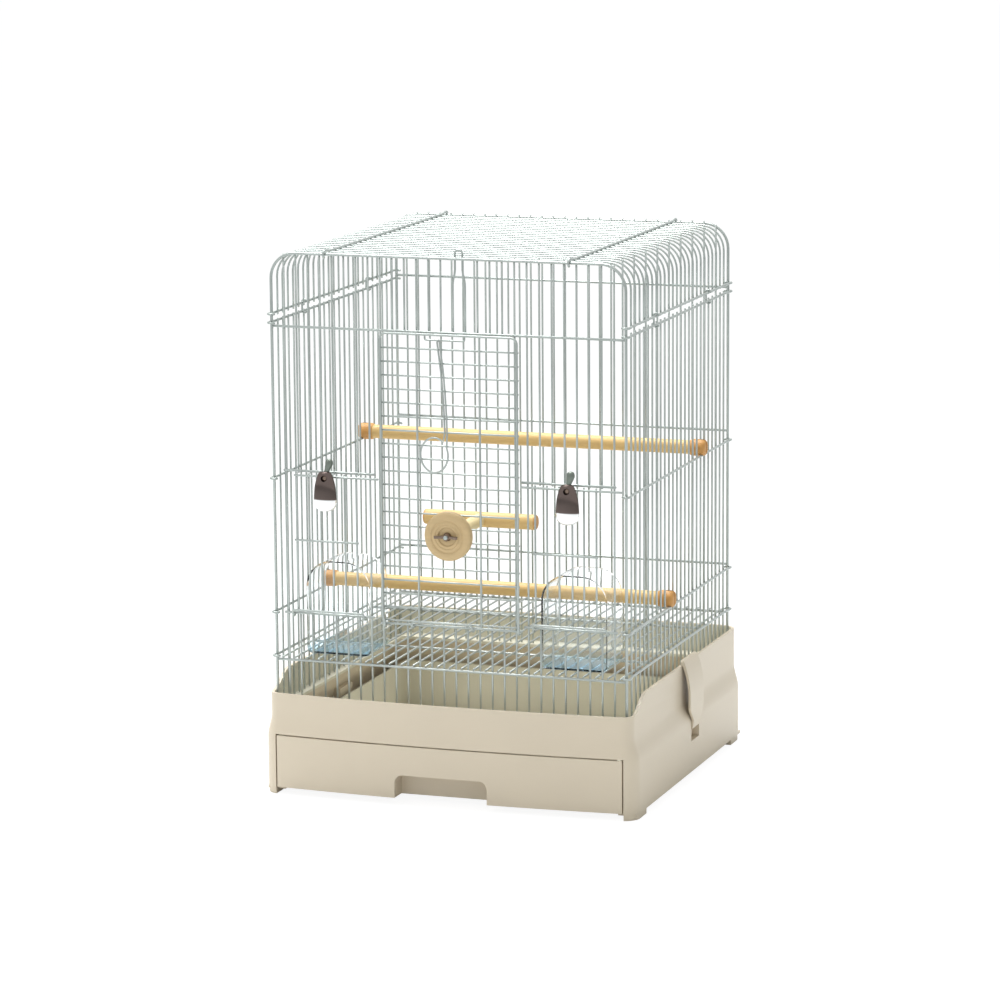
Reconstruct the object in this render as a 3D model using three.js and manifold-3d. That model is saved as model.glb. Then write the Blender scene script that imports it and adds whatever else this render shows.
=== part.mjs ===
// Canary breeding cage: a wire cage with an arched roof on a moulded base with a drawer.
// Millimetres, +Z up, floor at Z = 0, front towards -Y, right towards +X.
//
// Each wire is a four-sided bar with a ridge that faces across its panel. Where two wires
// cross, only their ridges meet, as in a spot weld.

import * as THREE from "three";
import { mergeVertices } from "three/addons/utils/BufferGeometryUtils.js";
import Module from "manifold-3d";

const wasm = await Module();
wasm.setup();
const { Manifold } = wasm;

// ---------------------------------------------------------------- driving sizes

// Wire shell
const HALF_W = 179.8; // middle of the cage to the plane of the side uprights
const HALF_D = 170; // middle of the cage to the plane of the front and back uprights
const PITCH = 12.4; // front and back uprights
const GAPS = 29;
const SIDE_PITCH = 13.6; // side uprights and roof wires
const SIDE_GAPS = 25;
const R_UPRIGHT = 1.05;
const SIDES = 4; // sides of a wire
const R_RAIL = 1.3;
const R_EDGE = 1.5;
const RAIL_OUT = 2.0; // uprights' plane to the rails' plane
const EDGE_OUT = 2.1; // uprights' plane to the arch's plane
const FOOT_Z = 88.3; // lower ends of the uprights, on the base's ledge
const ARCH_Z = 535.5; // arch's top wire
const ARCH_R = 25;
const TAIL = 2.7; // how far an upright runs past the last wire it crosses

// Heights of the rails
const ROOF_RAIL_Z = 464;
const SILL_Z = 177; // large door's sill rail and hinge line
const FEEDER_RAIL_Z = 322.8;
const FEEDER_SILL_Z = 181.6; // feeder doors' hinge line
const GRID_RAIL_Z = 134;
const BACK_RAILS_Z = [471, 323.5, 184.5, GRID_RAIL_Z];
const SIDE_TOP_Z = 467;
const SIDE_MID_Z = 314;
const SIDE_LOW_Z = 181;
const SIDE_RAILS_Z = [SIDE_TOP_Z, SIDE_MID_Z, SIDE_LOW_Z, 137.4];
const ROOF_SIDE_Z = 475.5;
const HOOK_R = 3.4; // centre line of a rail's hook round the edge wire it grips

// Large door
const DOOR_MID = 2.3; // the door hangs a little to the right of the middle
const DOOR_HALF = 69.5;
const DOOR_TOP_Z = 462;
const DOOR_CORNER = 6;
const DOOR_CURL_IN = 2.8; // left curl's distance from its neighbouring upright
const DOOR_UPRIGHT = 31.9; // inner uprights, either side of the door's middle
const DOOR_Y = -HALF_D - 5; // plane of the door's upright wires
const DOOR_ROW_Y = DOOR_Y + 1.9;
const DOOR_ROW_Z = 180.7;
const DOOR_ROW_PITCH = 13.35;
const DOOR_ROWS = 21;
const R_DOOR = 1.2;
const HINGE_R = 3.0; // centre line of the hinge curls

// T-shaped perch on the large door
const TEE_Z = 267.5;
const TEE_DISC_R = 24;
const TEE_DISC_T = 8;
const TEE_RECESS = 1.2; // depth of the seat for the wing nut
const TEE_BAR_Y = -85;
const TEE_BAR_R = 7.5;
const TEE_BAR_HALF = 58.5;
const NUT_SPAN = 12;

// Feeder openings, cups and latches
const FEEDER_LEFT_X = [2, 3, 4, 5, 6, 7].map((i) => upX(i));
const FEEDER_RIGHT_X = [89.5, 101.5, 113.7, 126.8, 138.5, 150.9];
const FEEDER_Y = DOOR_Y;
const FEEDER_ROW_Y = FEEDER_Y - 1.8;
const FEEDER_TOP_Z = 319;
const LATCH_W = 23.5;
const LATCH_X = [-122, 125];
const CUP_X = [88, 155];
const CUP_Y = [-155, -106];
const CUP_Z = [138, 231];
const CUP_LIP_Z = 180;
const CUP_WALL = 1.6;

// Floor grid and perches
const GRID_Z = 136.5;
const PERCH_R = 7;
const KNOB_R = 8.5;
const KNOB_L = 16;
const PERCH_END = 186;
const PERCH_OVER_RAIL = 6; // a perch's axis above its seat on the rail
const SEAT_GAP = 0.25;

// Base: half width, front corner, bow of the front, back, front and back corner radii
const SKIRT = [192, -182.5, 7.5, 190, 16, 22];
const COLLAR = [187, -180, 8, 187, 11, 17];
const BASE_WALL = 3;
const THROAT = [174, -164, 0, 164, 6, 6];
const SKIRT_Z = 6; // lower edge of the skirt, above the feet
const FLARE_Z = [56, 80];
const LEDGE_Z = [85, 88];
const RIM_FRONT_Z = 101;
const RIM_Z = 117;
const DRAWER_HALF = 178;
const DRAWER_Z = [7, 59];
const DRAWER_WALL = 2.4;
const DRAWER_GAP = 1.3;
const NOTCH = { x: [-52, 43], top: 30, depth: 20 };

// Side clips
const CLIP_Y = [-14, 32];
const CLIP_FOOT_Y = [3, 29]; // narrow lower end, round the pin
const CLIP_PIN = { x: 189.5, z: 52, r: 1.5 };
const CLIP_T = 2.3;
const CLIP_BOW = 6.9; // how far the middle stands off the collar
const CLIP_RECESS_Z = 37;

// ---------------------------------------------------------------- building blocks

function upX(i) {
  return -HALF_W + PITCH * i;
}
function sideY(j) {
  return -HALF_D + SIDE_PITCH * j;
}
const range = (first, last) =>
  Array.from({ length: last - first + 1 }, (_, k) => first + k);
const mix = (a, b, t) => a + (b - a) * t;
const smooth = (t) => t * t * (3 - 2 * t);

// A closed solid from a three.js geometry.
function solid(geometry) {
  const g = geometry.index ? geometry.toNonIndexed() : geometry;
  g.deleteAttribute("normal");
  g.deleteAttribute("uv");
  const merged = mergeVertices(g, 1e-4);
  return new Manifold(
    new wasm.Mesh({
      numProp: 3,
      vertProperties: merged.attributes.position.array,
      triVerts: new Uint32Array(merged.index.array),
    }),
  );
}

const weld = (...parts) => Manifold.union(parts.flat(Infinity));

// A path that keeps the given points, so a straight wire costs one step.
class BentPath extends THREE.Curve {
  constructor(points) {
    super();
    this.points = points.map((p) => new THREE.Vector3(...p));
  }
  getPointAt(u, target = new THREE.Vector3()) {
    return target.copy(this.points[Math.round(u * (this.points.length - 1))]);
  }
  getSpacedPoints() {
    return this.points.map((p) => p.clone());
  }
  getTangentAt(u, target = new THREE.Vector3()) {
    const p = this.points;
    const k = Math.round(u * (p.length - 1));
    target.set(0, 0, 0);
    if (k > 0) target.add(p[k].clone().sub(p[k - 1]).normalize());
    if (k < p.length - 1) target.add(p[k + 1].clone().sub(p[k]).normalize());
    return target.normalize();
  }
}

// A wire of radius r through points, with a ridge facing the direction `ridge`.
function wire(points, r, ridge, sides = SIDES) {
  const path = new BentPath(points);
  const steps = points.length - 1;
  const frames = path.computeFrenetFrames(steps, false);
  const out = new THREE.Vector3(...ridge);
  const phase = Math.atan2(
    out.dot(frames.binormals[0]),
    out.dot(frames.normals[0]),
  );
  const ring = range(0, sides - 1).map((k) => {
    const a = phase + (2 * Math.PI * k) / sides;
    return new THREE.Vector2(r * Math.cos(a), r * Math.sin(a));
  });
  return solid(
    new THREE.ExtrudeGeometry(new THREE.Shape(ring), {
      steps,
      extrudePath: path,
      bevelEnabled: false,
    }),
  );
}

const X = [1, 0, 0];
const Y = [0, 1, 0];
const Z = [0, 0, 1];

// Points on an arc about (a, b), in degrees.
function arc(a, b, r, from, to, steps, rb = r) {
  return range(0, steps).map((k) => {
    const t = THREE.MathUtils.degToRad(mix(from, to, k / steps));
    return [a + r * Math.cos(t), b + rb * Math.sin(t)];
  });
}

function box([x0, x1], [y0, y1], [z0, z1]) {
  const g = new THREE.BoxGeometry(x1 - x0, y1 - y0, z1 - z0);
  return solid(g.translate((x0 + x1) / 2, (y0 + y1) / 2, (z0 + z1) / 2));
}

// A solid of revolution. The profile is [radius, height] pairs that start and end on the axis.
function lathe(profile, segments = 28) {
  const g = new THREE.LatheGeometry(
    profile.map(([r, h]) => new THREE.Vector2(r, h)),
    segments,
  );
  return solid(g.rotateX(Math.PI / 2));
}
const rod = (r, from, to, segments) =>
  lathe([[0, from], [r, from], [r, to], [0, to]], segments);
const alongY = (body) => body.rotate([-90, 0, 0]); // height becomes +Y
const alongX = (body) => body.rotate([0, 90, 0]); // height becomes +X

// A prism of an outline in the XZ plane, from y0 to y1.
function prismY(outline, y0, y1) {
  const shape = new THREE.Shape(outline.map(([x, z]) => new THREE.Vector2(x, z)));
  const g = new THREE.ExtrudeGeometry(shape, { depth: y1 - y0, bevelEnabled: false });
  return solid(g.rotateX(Math.PI / 2).translate(0, y1, 0)); // outline's y becomes Z, depth runs towards -Y
}

// A solid through outlines of equal length, one per height.
function loft(levels) {
  const first = levels[0].outline;
  const shape = new THREE.Shape(first.map(([x, y]) => new THREE.Vector2(x, y)));
  const steps = levels.length - 1;
  const g = new THREE.ExtrudeGeometry(shape, { steps, depth: steps, bevelEnabled: false });
  const p = g.attributes.position;
  // The vertex order of the outline is not kept, so each vertex looks for its own point.
  const nearest = (x, y) => {
    let best = 0;
    first.forEach((q, i) => {
      if (Math.hypot(q[0] - x, q[1] - y) < Math.hypot(first[best][0] - x, first[best][1] - y)) best = i;
    });
    return best;
  };
  for (let v = 0; v < p.count; v++) {
    const level = levels[Math.round(p.getZ(v))];
    const [x, y] = level.outline[nearest(p.getX(v), p.getY(v))];
    p.setXYZ(v, x, y, level.z);
  }
  return solid(g);
}

// ---------------------------------------------------------------- wire shell

// Height of the arch's centre line at x.
function archZ(x) {
  const over = Math.abs(x) - (HALF_W - ARCH_R);
  return ARCH_Z - ARCH_R + (over > 0 ? Math.sqrt(ARCH_R ** 2 - over ** 2) : ARCH_R);
}

// An inverted U in the XZ plane at y, down to z = foot on both sides.
function archPoints(y, foot, steps) {
  const right = arc(HALF_W - ARCH_R, ARCH_Z - ARCH_R, ARCH_R, 0, 90, steps);
  const left = right.map(([x, z]) => [-x, z]).reverse();
  return [[HALF_W, foot], ...right, ...left, [-HALF_W, foot]].map(([x, z]) => [x, y, z]);
}

const upright = (x, y, from, to) => wire([[x, y, from], [x, y, to]], R_UPRIGHT, Y);
const railX = (y, z, from, to, r = R_RAIL) => wire([[from, y, z], [to, y, z]], r, Y);
const archEnd = (x) => archZ(x) + TAIL;

// Two neighbouring uprights that close over the arch into an eye.
function eye(y, left) {
  const middle = left + PITCH / 2;
  const half = [
    [PITCH / 2, ROOF_RAIL_Z - TAIL],
    [PITCH / 2, 512],
    [3.8, 524],
    [3.8, 539.5],
    [2.6, 542.8],
  ];
  const outline = [
    ...half.map(([dx, z]) => [middle - dx, z]),
    [middle, 544],
    ...half.reverse().map(([dx, z]) => [middle + dx, z]),
  ];
  return wire(outline.map(([x, z]) => [x, y, z]), R_UPRIGHT, Y);
}

function frontPanel() {
  const y = -HALF_D;
  const railY = y - RAIL_OUT;
  const parts = [wire(archPoints(y - EDGE_OUT, FOOT_Z, 4), R_EDGE, Y)];
  const isFeeder = (i) => (i >= 2 && i <= 7) || (i >= 22 && i <= 27);
  const isDoor = (i) => i >= 10 && i <= 19;
  for (const i of range(1, GAPS - 1)) {
    const x = upX(i);
    if (isDoor(i)) {
      parts.push(upright(x, y, FOOT_Z, SILL_Z + TAIL));
      if (i !== 15 && i !== 16) parts.push(upright(x, y, ROOF_RAIL_Z - 2.2, archEnd(x)));
    } else if (isFeeder(i)) {
      parts.push(upright(x, y, FOOT_Z, FEEDER_SILL_Z + TAIL));
      parts.push(upright(x, y, FEEDER_RAIL_Z - TAIL, archEnd(x)));
    } else parts.push(upright(x, y, FOOT_Z, archEnd(x)));
  }
  parts.push(eye(y, upX(15)));
  parts.push(railX(railY, ROOF_RAIL_Z, -HALF_W, HALF_W));
  parts.push(railX(railY, GRID_RAIL_Z, -HALF_W, HALF_W));
  parts.push(railX(railY, SILL_Z, upX(9) - 2, DOOR_MID + DOOR_HALF + 3.4));
  for (const s of [-1, 1]) {
    parts.push(railX(railY, FEEDER_RAIL_Z, s * 170, s * 75));
    parts.push(railX(railY, FEEDER_SILL_Z, s * 171, s * 76.4));
  }
  return weld(parts);
}

function backPanel() {
  const y = HALF_D;
  const parts = [wire(archPoints(y + EDGE_OUT, FOOT_Z, 4), R_EDGE, Y)];
  for (const i of range(1, GAPS - 1)) parts.push(upright(upX(i), y, FOOT_Z, archEnd(upX(i))));
  for (const z of BACK_RAILS_Z) parts.push(railX(y + RAIL_OUT, z, -HALF_W, HALF_W));
  return weld(parts);
}

// A rail that runs in depth beside the uprights and curls round the edge wires at its ends.
// `place` turns (distance out, y) into a point.
function hookedRail(out, grip, place, r = R_RAIL) {
  const end = [
    [out, -HALF_D + 9],
    [grip + HOOK_R, -HALF_D + 1],
    ...arc(grip, -HALF_D - EDGE_OUT, HOOK_R, 0, -170, 4),
  ];
  const back = end.map(([a, b]) => [a, -b]).reverse();
  const path = [...end.reverse(), ...back.reverse()];
  return path.map(([a, b]) => place(a, b));
}

// The rail from its front hook to its back hook.
function sideRail(s, z) {
  const points = hookedRail(HALF_W + RAIL_OUT, HALF_W, (out, y) => [s * out, y, z]);
  return wire(points, R_RAIL, X);
}

function sidePanel(s) {
  const parts = range(1, SIDE_GAPS - 1).map((j) =>
    wire([[s * HALF_W, sideY(j), FOOT_Z], [s * HALF_W, sideY(j), SIDE_TOP_Z + TAIL]], R_UPRIGHT, X),
  );
  for (const z of SIDE_RAILS_Z) parts.push(sideRail(s, z));
  return weld(parts);
}

const ROOF_LONG_X = 124; // wires in depth on top, midway between front uprights

function roofGrille() {
  const parts = range(1, SIDE_GAPS - 1).map((j) =>
    wire(archPoints(sideY(j), ROOF_SIDE_Z - 2.6, 2), R_UPRIGHT, X),
  );
  for (const s of [-1, 1]) {
    parts.push(sideRail(s, ROOF_SIDE_Z));
    const top = hookedRail(ARCH_Z + RAIL_OUT, ARCH_Z, (out, y) => [s * ROOF_LONG_X, y, out]);
    parts.push(wire(top, R_RAIL, Z));
  }
  return weld(parts);
}

// A ring that ties the side panel's top rail to the roof's side rail.
function ringClip(s, y) {
  const x = s * (HALF_W + RAIL_OUT);
  const r = R_RAIL + 1.2;
  const top = arc(x, ROOF_SIDE_Z, r, -10, 190, 6);
  const low = arc(x, SIDE_TOP_Z, r, 170, 350, 5);
  const points = [...top, ...low].map(([a, b]) => [a, y, b]);
  return wire(points, 0.9, Y);
}

function floorGrid() {
  const parts = range(0, GAPS - 1).map((k) => {
    const x = upX(k) + PITCH / 2;
    return wire([[x, -HALF_D - 3, GRID_Z], [x, HALF_D + 3, GRID_Z]], R_UPRIGHT, Z);
  });
  for (const y of [-85, 85])
    parts.push(wire([[-177.4, y, GRID_Z - RAIL_OUT], [177.4, y, GRID_Z - RAIL_OUT]], R_RAIL, Z));
  return weld(parts);
}

// ---------------------------------------------------------------- large door

// A curl round a sill rail, from behind the rail up to the door's plane: [y, z] pairs.
const curl = (z) => arc(-HALF_D - RAIL_OUT, z, HINGE_R, 20, -180, 5);

function largeDoor() {
  const c = DOOR_CORNER;
  // The left side steps in above its curl, which passes between two uprights of the panel.
  const half = (s) => [
    ...curl(SILL_Z).map(([y, z]) => [s < 0 ? upX(9) + DOOR_CURL_IN : DOOR_MID + DOOR_HALF, y, z]),
    ...(s < 0 ? [[upX(9) + DOOR_CURL_IN, DOOR_Y, SILL_Z + 1.4], [DOOR_MID - DOOR_HALF, DOOR_Y, SILL_Z + 7]] : []),
    ...arc(DOOR_HALF - c, DOOR_TOP_Z - c, c, 0, 90, 4).map(([x, z]) => [DOOR_MID + s * x, DOOR_Y, z]),
  ];
  const parts = [wire([...half(1), ...half(-1).reverse()], R_DOOR, Y)];
  for (const s of [-1, 1]) {
    const x = DOOR_MID + s * DOOR_UPRIGHT;
    parts.push(wire([[x, DOOR_Y, DOOR_ROW_Z - 2], [x, DOOR_Y, DOOR_TOP_Z]], 1.1, Y));
  }
  for (const k of range(0, DOOR_ROWS - 1)) {
    const z = DOOR_ROW_Z + DOOR_ROW_PITCH * k;
    parts.push(railX(DOOR_ROW_Y, z, DOOR_MID - DOOR_HALF - 1.4, DOOR_MID + DOOR_HALF + 1.4, 1));
  }
  // Middle hinge bar: lies on the door's outside and curls round the sill at both ends.
  const bar = (x, dx) => [
    ...curl(SILL_Z).map(([y, z]) => [x, y, z]),
    [x + dx * 0.6, DOOR_Y, SILL_Z + 2.6],
    [x + dx * 2.6, DOOR_Y, SILL_Z + 3.7],
  ];
  parts.push(wire([...bar(upX(11) + PITCH / 2, 1), ...bar(upX(17) - PITCH / 2, -1).reverse()], 1.1, Y));
  return weld(parts);
}

// The latch: one bent wire with a ring to pull, two strands and a catch at each end of its top.
function latchRod() {
  const inY = -HALF_D + 1.6; // behind the roof rail
  const outY = DOOR_Y - 0.4; // on the door's outside
  const catchZ = 456;
  const end = (x, toMiddle, strand) => [
    [x, inY, catchZ + 4.4],
    [x, inY, catchZ + 1.2],
    [x + Math.sign(toMiddle) * 1.2, inY, catchZ],
    [strand - Math.sign(toMiddle) * 2, inY, catchZ],
    [strand, inY - 1.4, catchZ],
    [strand, outY + 1.2, catchZ],
    [strand, outY, catchZ - 1.2],
  ];
  // The strands lean towards the ring's right side, a clearance apart.
  const lean = [[3.6, 426], [6.4, 384], [6.9, 367]];
  const strand = (x) => lean.map(([dx, z]) => [x + dx, outY, z]);
  const ring = arc(-12.3, 345.5, 14, 50, 385, 16, 17).map(([x, z]) => [x, outY, z]);
  return wire(
    [...end(-23.5, 1, -8.3), ...strand(-8.3), ...ring, ...strand(-5.9).reverse(), ...end(17, -1, -5.9).reverse()],
    0.9,
    Y,
  );
}

// Distances along Y are from the door's rows of wire to the T perch's pieces.
const TEE_FACE_Y = DOOR_ROW_Y - 1.3; // back of the disc
const TEE_BACK_Y = DOOR_ROW_Y + 1.3; // front of the stem
const DISC_FRONT_Y = TEE_FACE_Y - TEE_DISC_T;
const NUT_Y = DISC_FRONT_Y + TEE_RECESS; // the nut's seat

function atTee(body) {
  return body.translate([DOOR_MID, 0, TEE_Z]);
}

function perchDisc() {
  const [back, front, R] = [TEE_FACE_Y, DISC_FRONT_Y, TEE_DISC_R];
  const profile = [
    [0, back], [R - 1, back], [R, back - 1], [R, front + 2.4], [R - 2, front + 0.5],
    [16.4, front], [15, front + 0.9], [12.4, front], [9.6, front], [8.6, NUT_Y], [0, NUT_Y],
  ].reverse();
  return atTee(alongY(lathe(profile, 26)).subtract(alongY(rod(2.3, back - 20, back + 5, 12))));
}

function perchStem() {
  const end = TEE_BAR_Y + 2;
  const body = alongY(lathe([[0, TEE_BACK_Y], [5.8, TEE_BACK_Y], [6.5, TEE_BACK_Y + 0.8], [6.5, end], [0, end]], 24));
  const seat = alongX(rod(TEE_BAR_R + 0.15, -20, 20, 32)).translate([0, TEE_BAR_Y, 0]);
  return atTee(body.subtract(seat).subtract(alongY(rod(2.3, TEE_BACK_Y - 5, TEE_BACK_Y + 26, 20))));
}

// A turned bar along X, from -L to L, with its ends rounded off.
const turnedBar = (r, L, segments) =>
  alongX(lathe([[0, -L], [r - 1, -L], [r, -L + 1], [r, L - 1], [r - 1, L], [0, L]], segments));

function perchCrossBar() {
  return atTee(turnedBar(TEE_BAR_R, TEE_BAR_HALF, 32).translate([0, TEE_BAR_Y, 0]));
}

function perchBolt() {
  return atTee(alongY(rod(2, NUT_Y - 6.4, TEE_BACK_Y + 25, 20)));
}

function wingNut() {
  const y = NUT_Y;
  const hub = alongY(lathe([[0, y - 4.6], [2.9, y - 4.6], [3.9, y - 3], [4.4, y], [0, y]], 20));
  const wing = (s) =>
    prismOf(
      [
        [1.5, y - 1], [5.4, y - 1.4], [NUT_SPAN - 2.6, y - 2.4], [NUT_SPAN - 0.5, y - 3.8], [NUT_SPAN, y - 5.4],
        [NUT_SPAN - 1, y - 6.8], [NUT_SPAN - 3.4, y - 6.2], [5.8, y - 4.8], [1.5, y - 4.2],
      ].map(([x, v]) => [s * x, v]),
      -1.2,
      1.2,
    );
  const body = hub.add(wing(1)).add(wing(-1));
  return atTee(body.subtract(alongY(rod(2.06, y - 12, y + 5, 20))));
}

// ---------------------------------------------------------------- feeder openings

function feederDoor(xs, topFrom, topTo) {
  const parts = xs.map((x) =>
    wire([[x, FEEDER_Y, FEEDER_SILL_Z + 1.6], [x, FEEDER_Y, FEEDER_TOP_Z + 2.6]], R_UPRIGHT, Y),
  );
  parts.push(railX(FEEDER_ROW_Y, FEEDER_TOP_Z, topFrom, topTo, 1.1));
  parts.push(railX(FEEDER_ROW_Y, 255, xs[0] - 2.4, xs[5] + 2.4, 1.1));
  // Bottom bar: its ends curl round the sill between the panel's uprights.
  const half = (x, dx) => [
    ...curl(FEEDER_SILL_Z).map(([y, z]) => [x, y, z]),
    [x + dx * 0.4, FEEDER_ROW_Y + 0.9, FEEDER_SILL_Z + 2.6],
    [x + dx * 2.4, FEEDER_ROW_Y, FEEDER_SILL_Z + 3.6],
  ];
  const s = Math.sign(xs[0]);
  const ends = s < 0 ? [upX(1) + 6.2, upX(8) - 6.2] : [upX(21) + 6.2, upX(28) - 6.2];
  parts.push(wire([...half(ends[0], 1), ...half(ends[1], -1).reverse()], 1.1, Y));
  return weld(parts);
}

const LATCH_Y = FEEDER_ROW_Y - 1.1 - 0.3; // back of the latch's pin

function latchPin(x) {
  const y = LATCH_Y;
  return alongY(lathe([[0, y], [1.5, y], [1.5, y - 6.3], [2.8, y - 6.3], [2.8, y - 7.2], [1.8, y - 8], [0, y - 8]].reverse(), 16))
    .translate([x, 0, FEEDER_TOP_Z]);
}

// A chromed drop that hangs from its pin, with a finger above. The pin's head lies in it.
function feederLatch(x, knob) {
  const y = LATCH_Y - 0.6;
  const top = 325.5, low = 286;
  const outline = [
    [0, low], [5.6, low + 0.8], [9, low + 3], [11.2, low + 6.4], [LATCH_W / 2, low + 10.4],
    [11, low + 15.4], [8.9, low + 24], [7, low + 32], [5.8, low + 37.4], [4.2, top - 0.6], [0, top],
  ];
  const drop = lathe(outline, 16).scale([1, 0.44, 1]).translate([0, -5.4, 0]);
  const neck = alongY(rod(4.6, -5.6, 0, 16)).translate([0, 0, FEEDER_TOP_Z]);
  const seat = alongY(rod(3.2, -30, -5.6, 16)).translate([0, 0, FEEDER_TOP_Z]);
  const finger = wire([[knob * 0.2, -4, top - 5], [knob * 0.7, -4, top + 2], [knob, -4, top + 6]], 2.6, Y, 6);
  const ball = solid(new THREE.SphereGeometry(3.9, 10, 7)).scale([1, 0.9, 1.3]).translate([knob, -4, top + 8]);
  const bore = alongY(rod(1.6, -30, 5, 16)).translate([0, 0, FEEDER_TOP_Z]);
  return drop.add(neck).add(finger).subtract(seat).add(ball).subtract(bore).translate([x, y, 0]);
}

// Clear cup with a hood: open towards the cage above its lip.
function cup(s) {
  const [x0, x1] = CUP_X;
  const [z0, z1] = CUP_Z;
  const outline = (inset) => {
    const R = 26 - inset;
    const r = 6 - Math.min(inset, 5);
    return [
      ...arc(x1 - inset - r, z0 + inset + r, r, -90, 0, 3),
      ...arc(x1 - inset - R, z1 - inset - R, R, 0, 90, 6),
      ...arc(x0 + inset + R, z1 - inset - R, R, 90, 180, 6),
      ...arc(x0 + inset + r, z0 + inset + r, r, 180, 270, 3),
    ];
  };
  const [y0, y1] = CUP_Y;
  const shell = prismY(outline(0), y0, y1).subtract(prismY(outline(CUP_WALL), y0 + CUP_WALL, y1 - CUP_WALL));
  const mouth = prismY(outline(CUP_WALL), y1 - CUP_WALL - 1, y1 + 1).intersect(
    box([x0, x1], [y0, y1 + 2], [CUP_LIP_Z, z1]),
  );
  const body = shell.subtract(mouth);
  return s > 0 ? body : body.mirror([1, 0, 0]);
}

// ---------------------------------------------------------------- perches

// A perch between the side panels, with a knob turned at each end. A slot in each knob
// straddles a side upright, and a notch below it sits on the side rail.
function perch(y, railZ) {
  const L = PERCH_END;
  const K = L - KNOB_L;
  const half = [[PERCH_R, K - 1], [KNOB_R - 0.6, K], [KNOB_R, K + 1.6], [KNOB_R, L - 2.4], [KNOB_R - 2.4, L], [0, L]];
  const body = alongX(lathe([...half.map(([r, h]) => [r, -h]).reverse(), ...half], 24));
  const slot = (s) => box(s > 0 ? [HALF_W - 3, L + 2] : [-L - 2, -HALF_W + 3], [-1.35, 1.35], [-10, 10]);
  const notch = (s) =>
    box(
      [s * (HALF_W + RAIL_OUT - R_RAIL - 0.4), s * (HALF_W + RAIL_OUT + R_RAIL + 0.4)].sort((a, b) => a - b),
      [-10, 10],
      [-10, -PERCH_OVER_RAIL],
    );
  const cuts = weld(slot(1), slot(-1), notch(1), notch(-1));
  return body.subtract(cuts).translate([0, y, railZ + R_RAIL + SEAT_GAP + PERCH_OVER_RAIL]);
}

// ---------------------------------------------------------------- base and drawer

function plan([halfW, front, bow, back, rf, rb]) {
  const xf = halfW - rf;
  const edge = range(1, 7).map((k) => {
    const x = mix(-xf, xf, k / 8);
    return [x, front - bow * (1 - (x / xf) ** 2)];
  });
  return [
    ...edge,
    ...arc(xf, front + rf, rf, -90, 0, 3),
    ...arc(halfW - rb, back - rb, rb, 0, 90, 4),
    ...arc(-halfW + rb, back - rb, rb, 90, 180, 4),
    ...arc(-xf, front + rf, rf, 180, 270, 3),
  ];
}
const inset = ([w, f, bow, b, rf, rb], d) => [w - d, f + d, bow, b - d, rf - d, rb - d];
const between = (a, b, t) => plan(a).map((p, i) => [mix(p[0], plan(b)[i][0], t), mix(p[1], plan(b)[i][1], t)]);

// Skirt below, flare, collar above, from z0 to z1, all moved in by d.
function bowl(d, z0, z1) {
  const skirt = inset(SKIRT, d);
  const collar = inset(COLLAR, d);
  const flare = range(0, 4).map((k) => ({
    z: mix(FLARE_Z[0], FLARE_Z[1], k / 4),
    outline: between(skirt, collar, smooth(k / 4)),
  }));
  return loft([{ z: z0, outline: plan(skirt) }, ...flare, { z: z1, outline: plan(collar) }]);
}

const prismOf = (outline, z0, z1) => loft([{ z: z0, outline }, { z: z1, outline }]);

// The rim rises from the front to the sides in an S.
function aboveRim() {
  const s = range(0, 6).map((k) => [mix(-171, -130, k / 6), mix(RIM_FRONT_Z, RIM_Z, smooth(k / 6))]);
  const outline = [[-210, RIM_FRONT_Z], ...s, [210, RIM_Z], [210, 140], [-210, 140]];
  const shape = new THREE.Shape(outline.map(([y, z]) => new THREE.Vector2(y, z)));
  const g = new THREE.ExtrudeGeometry(shape, { depth: 420, bevelEnabled: false });
  // shape x -> Y, shape y -> Z, depth -> X
  const m = new THREE.Matrix4().makeBasis(new THREE.Vector3(0, 1, 0), new THREE.Vector3(0, 0, 1), new THREE.Vector3(1, 0, 0));
  return solid(g.applyMatrix4(m).translate(-210, 0, 0));
}

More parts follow.
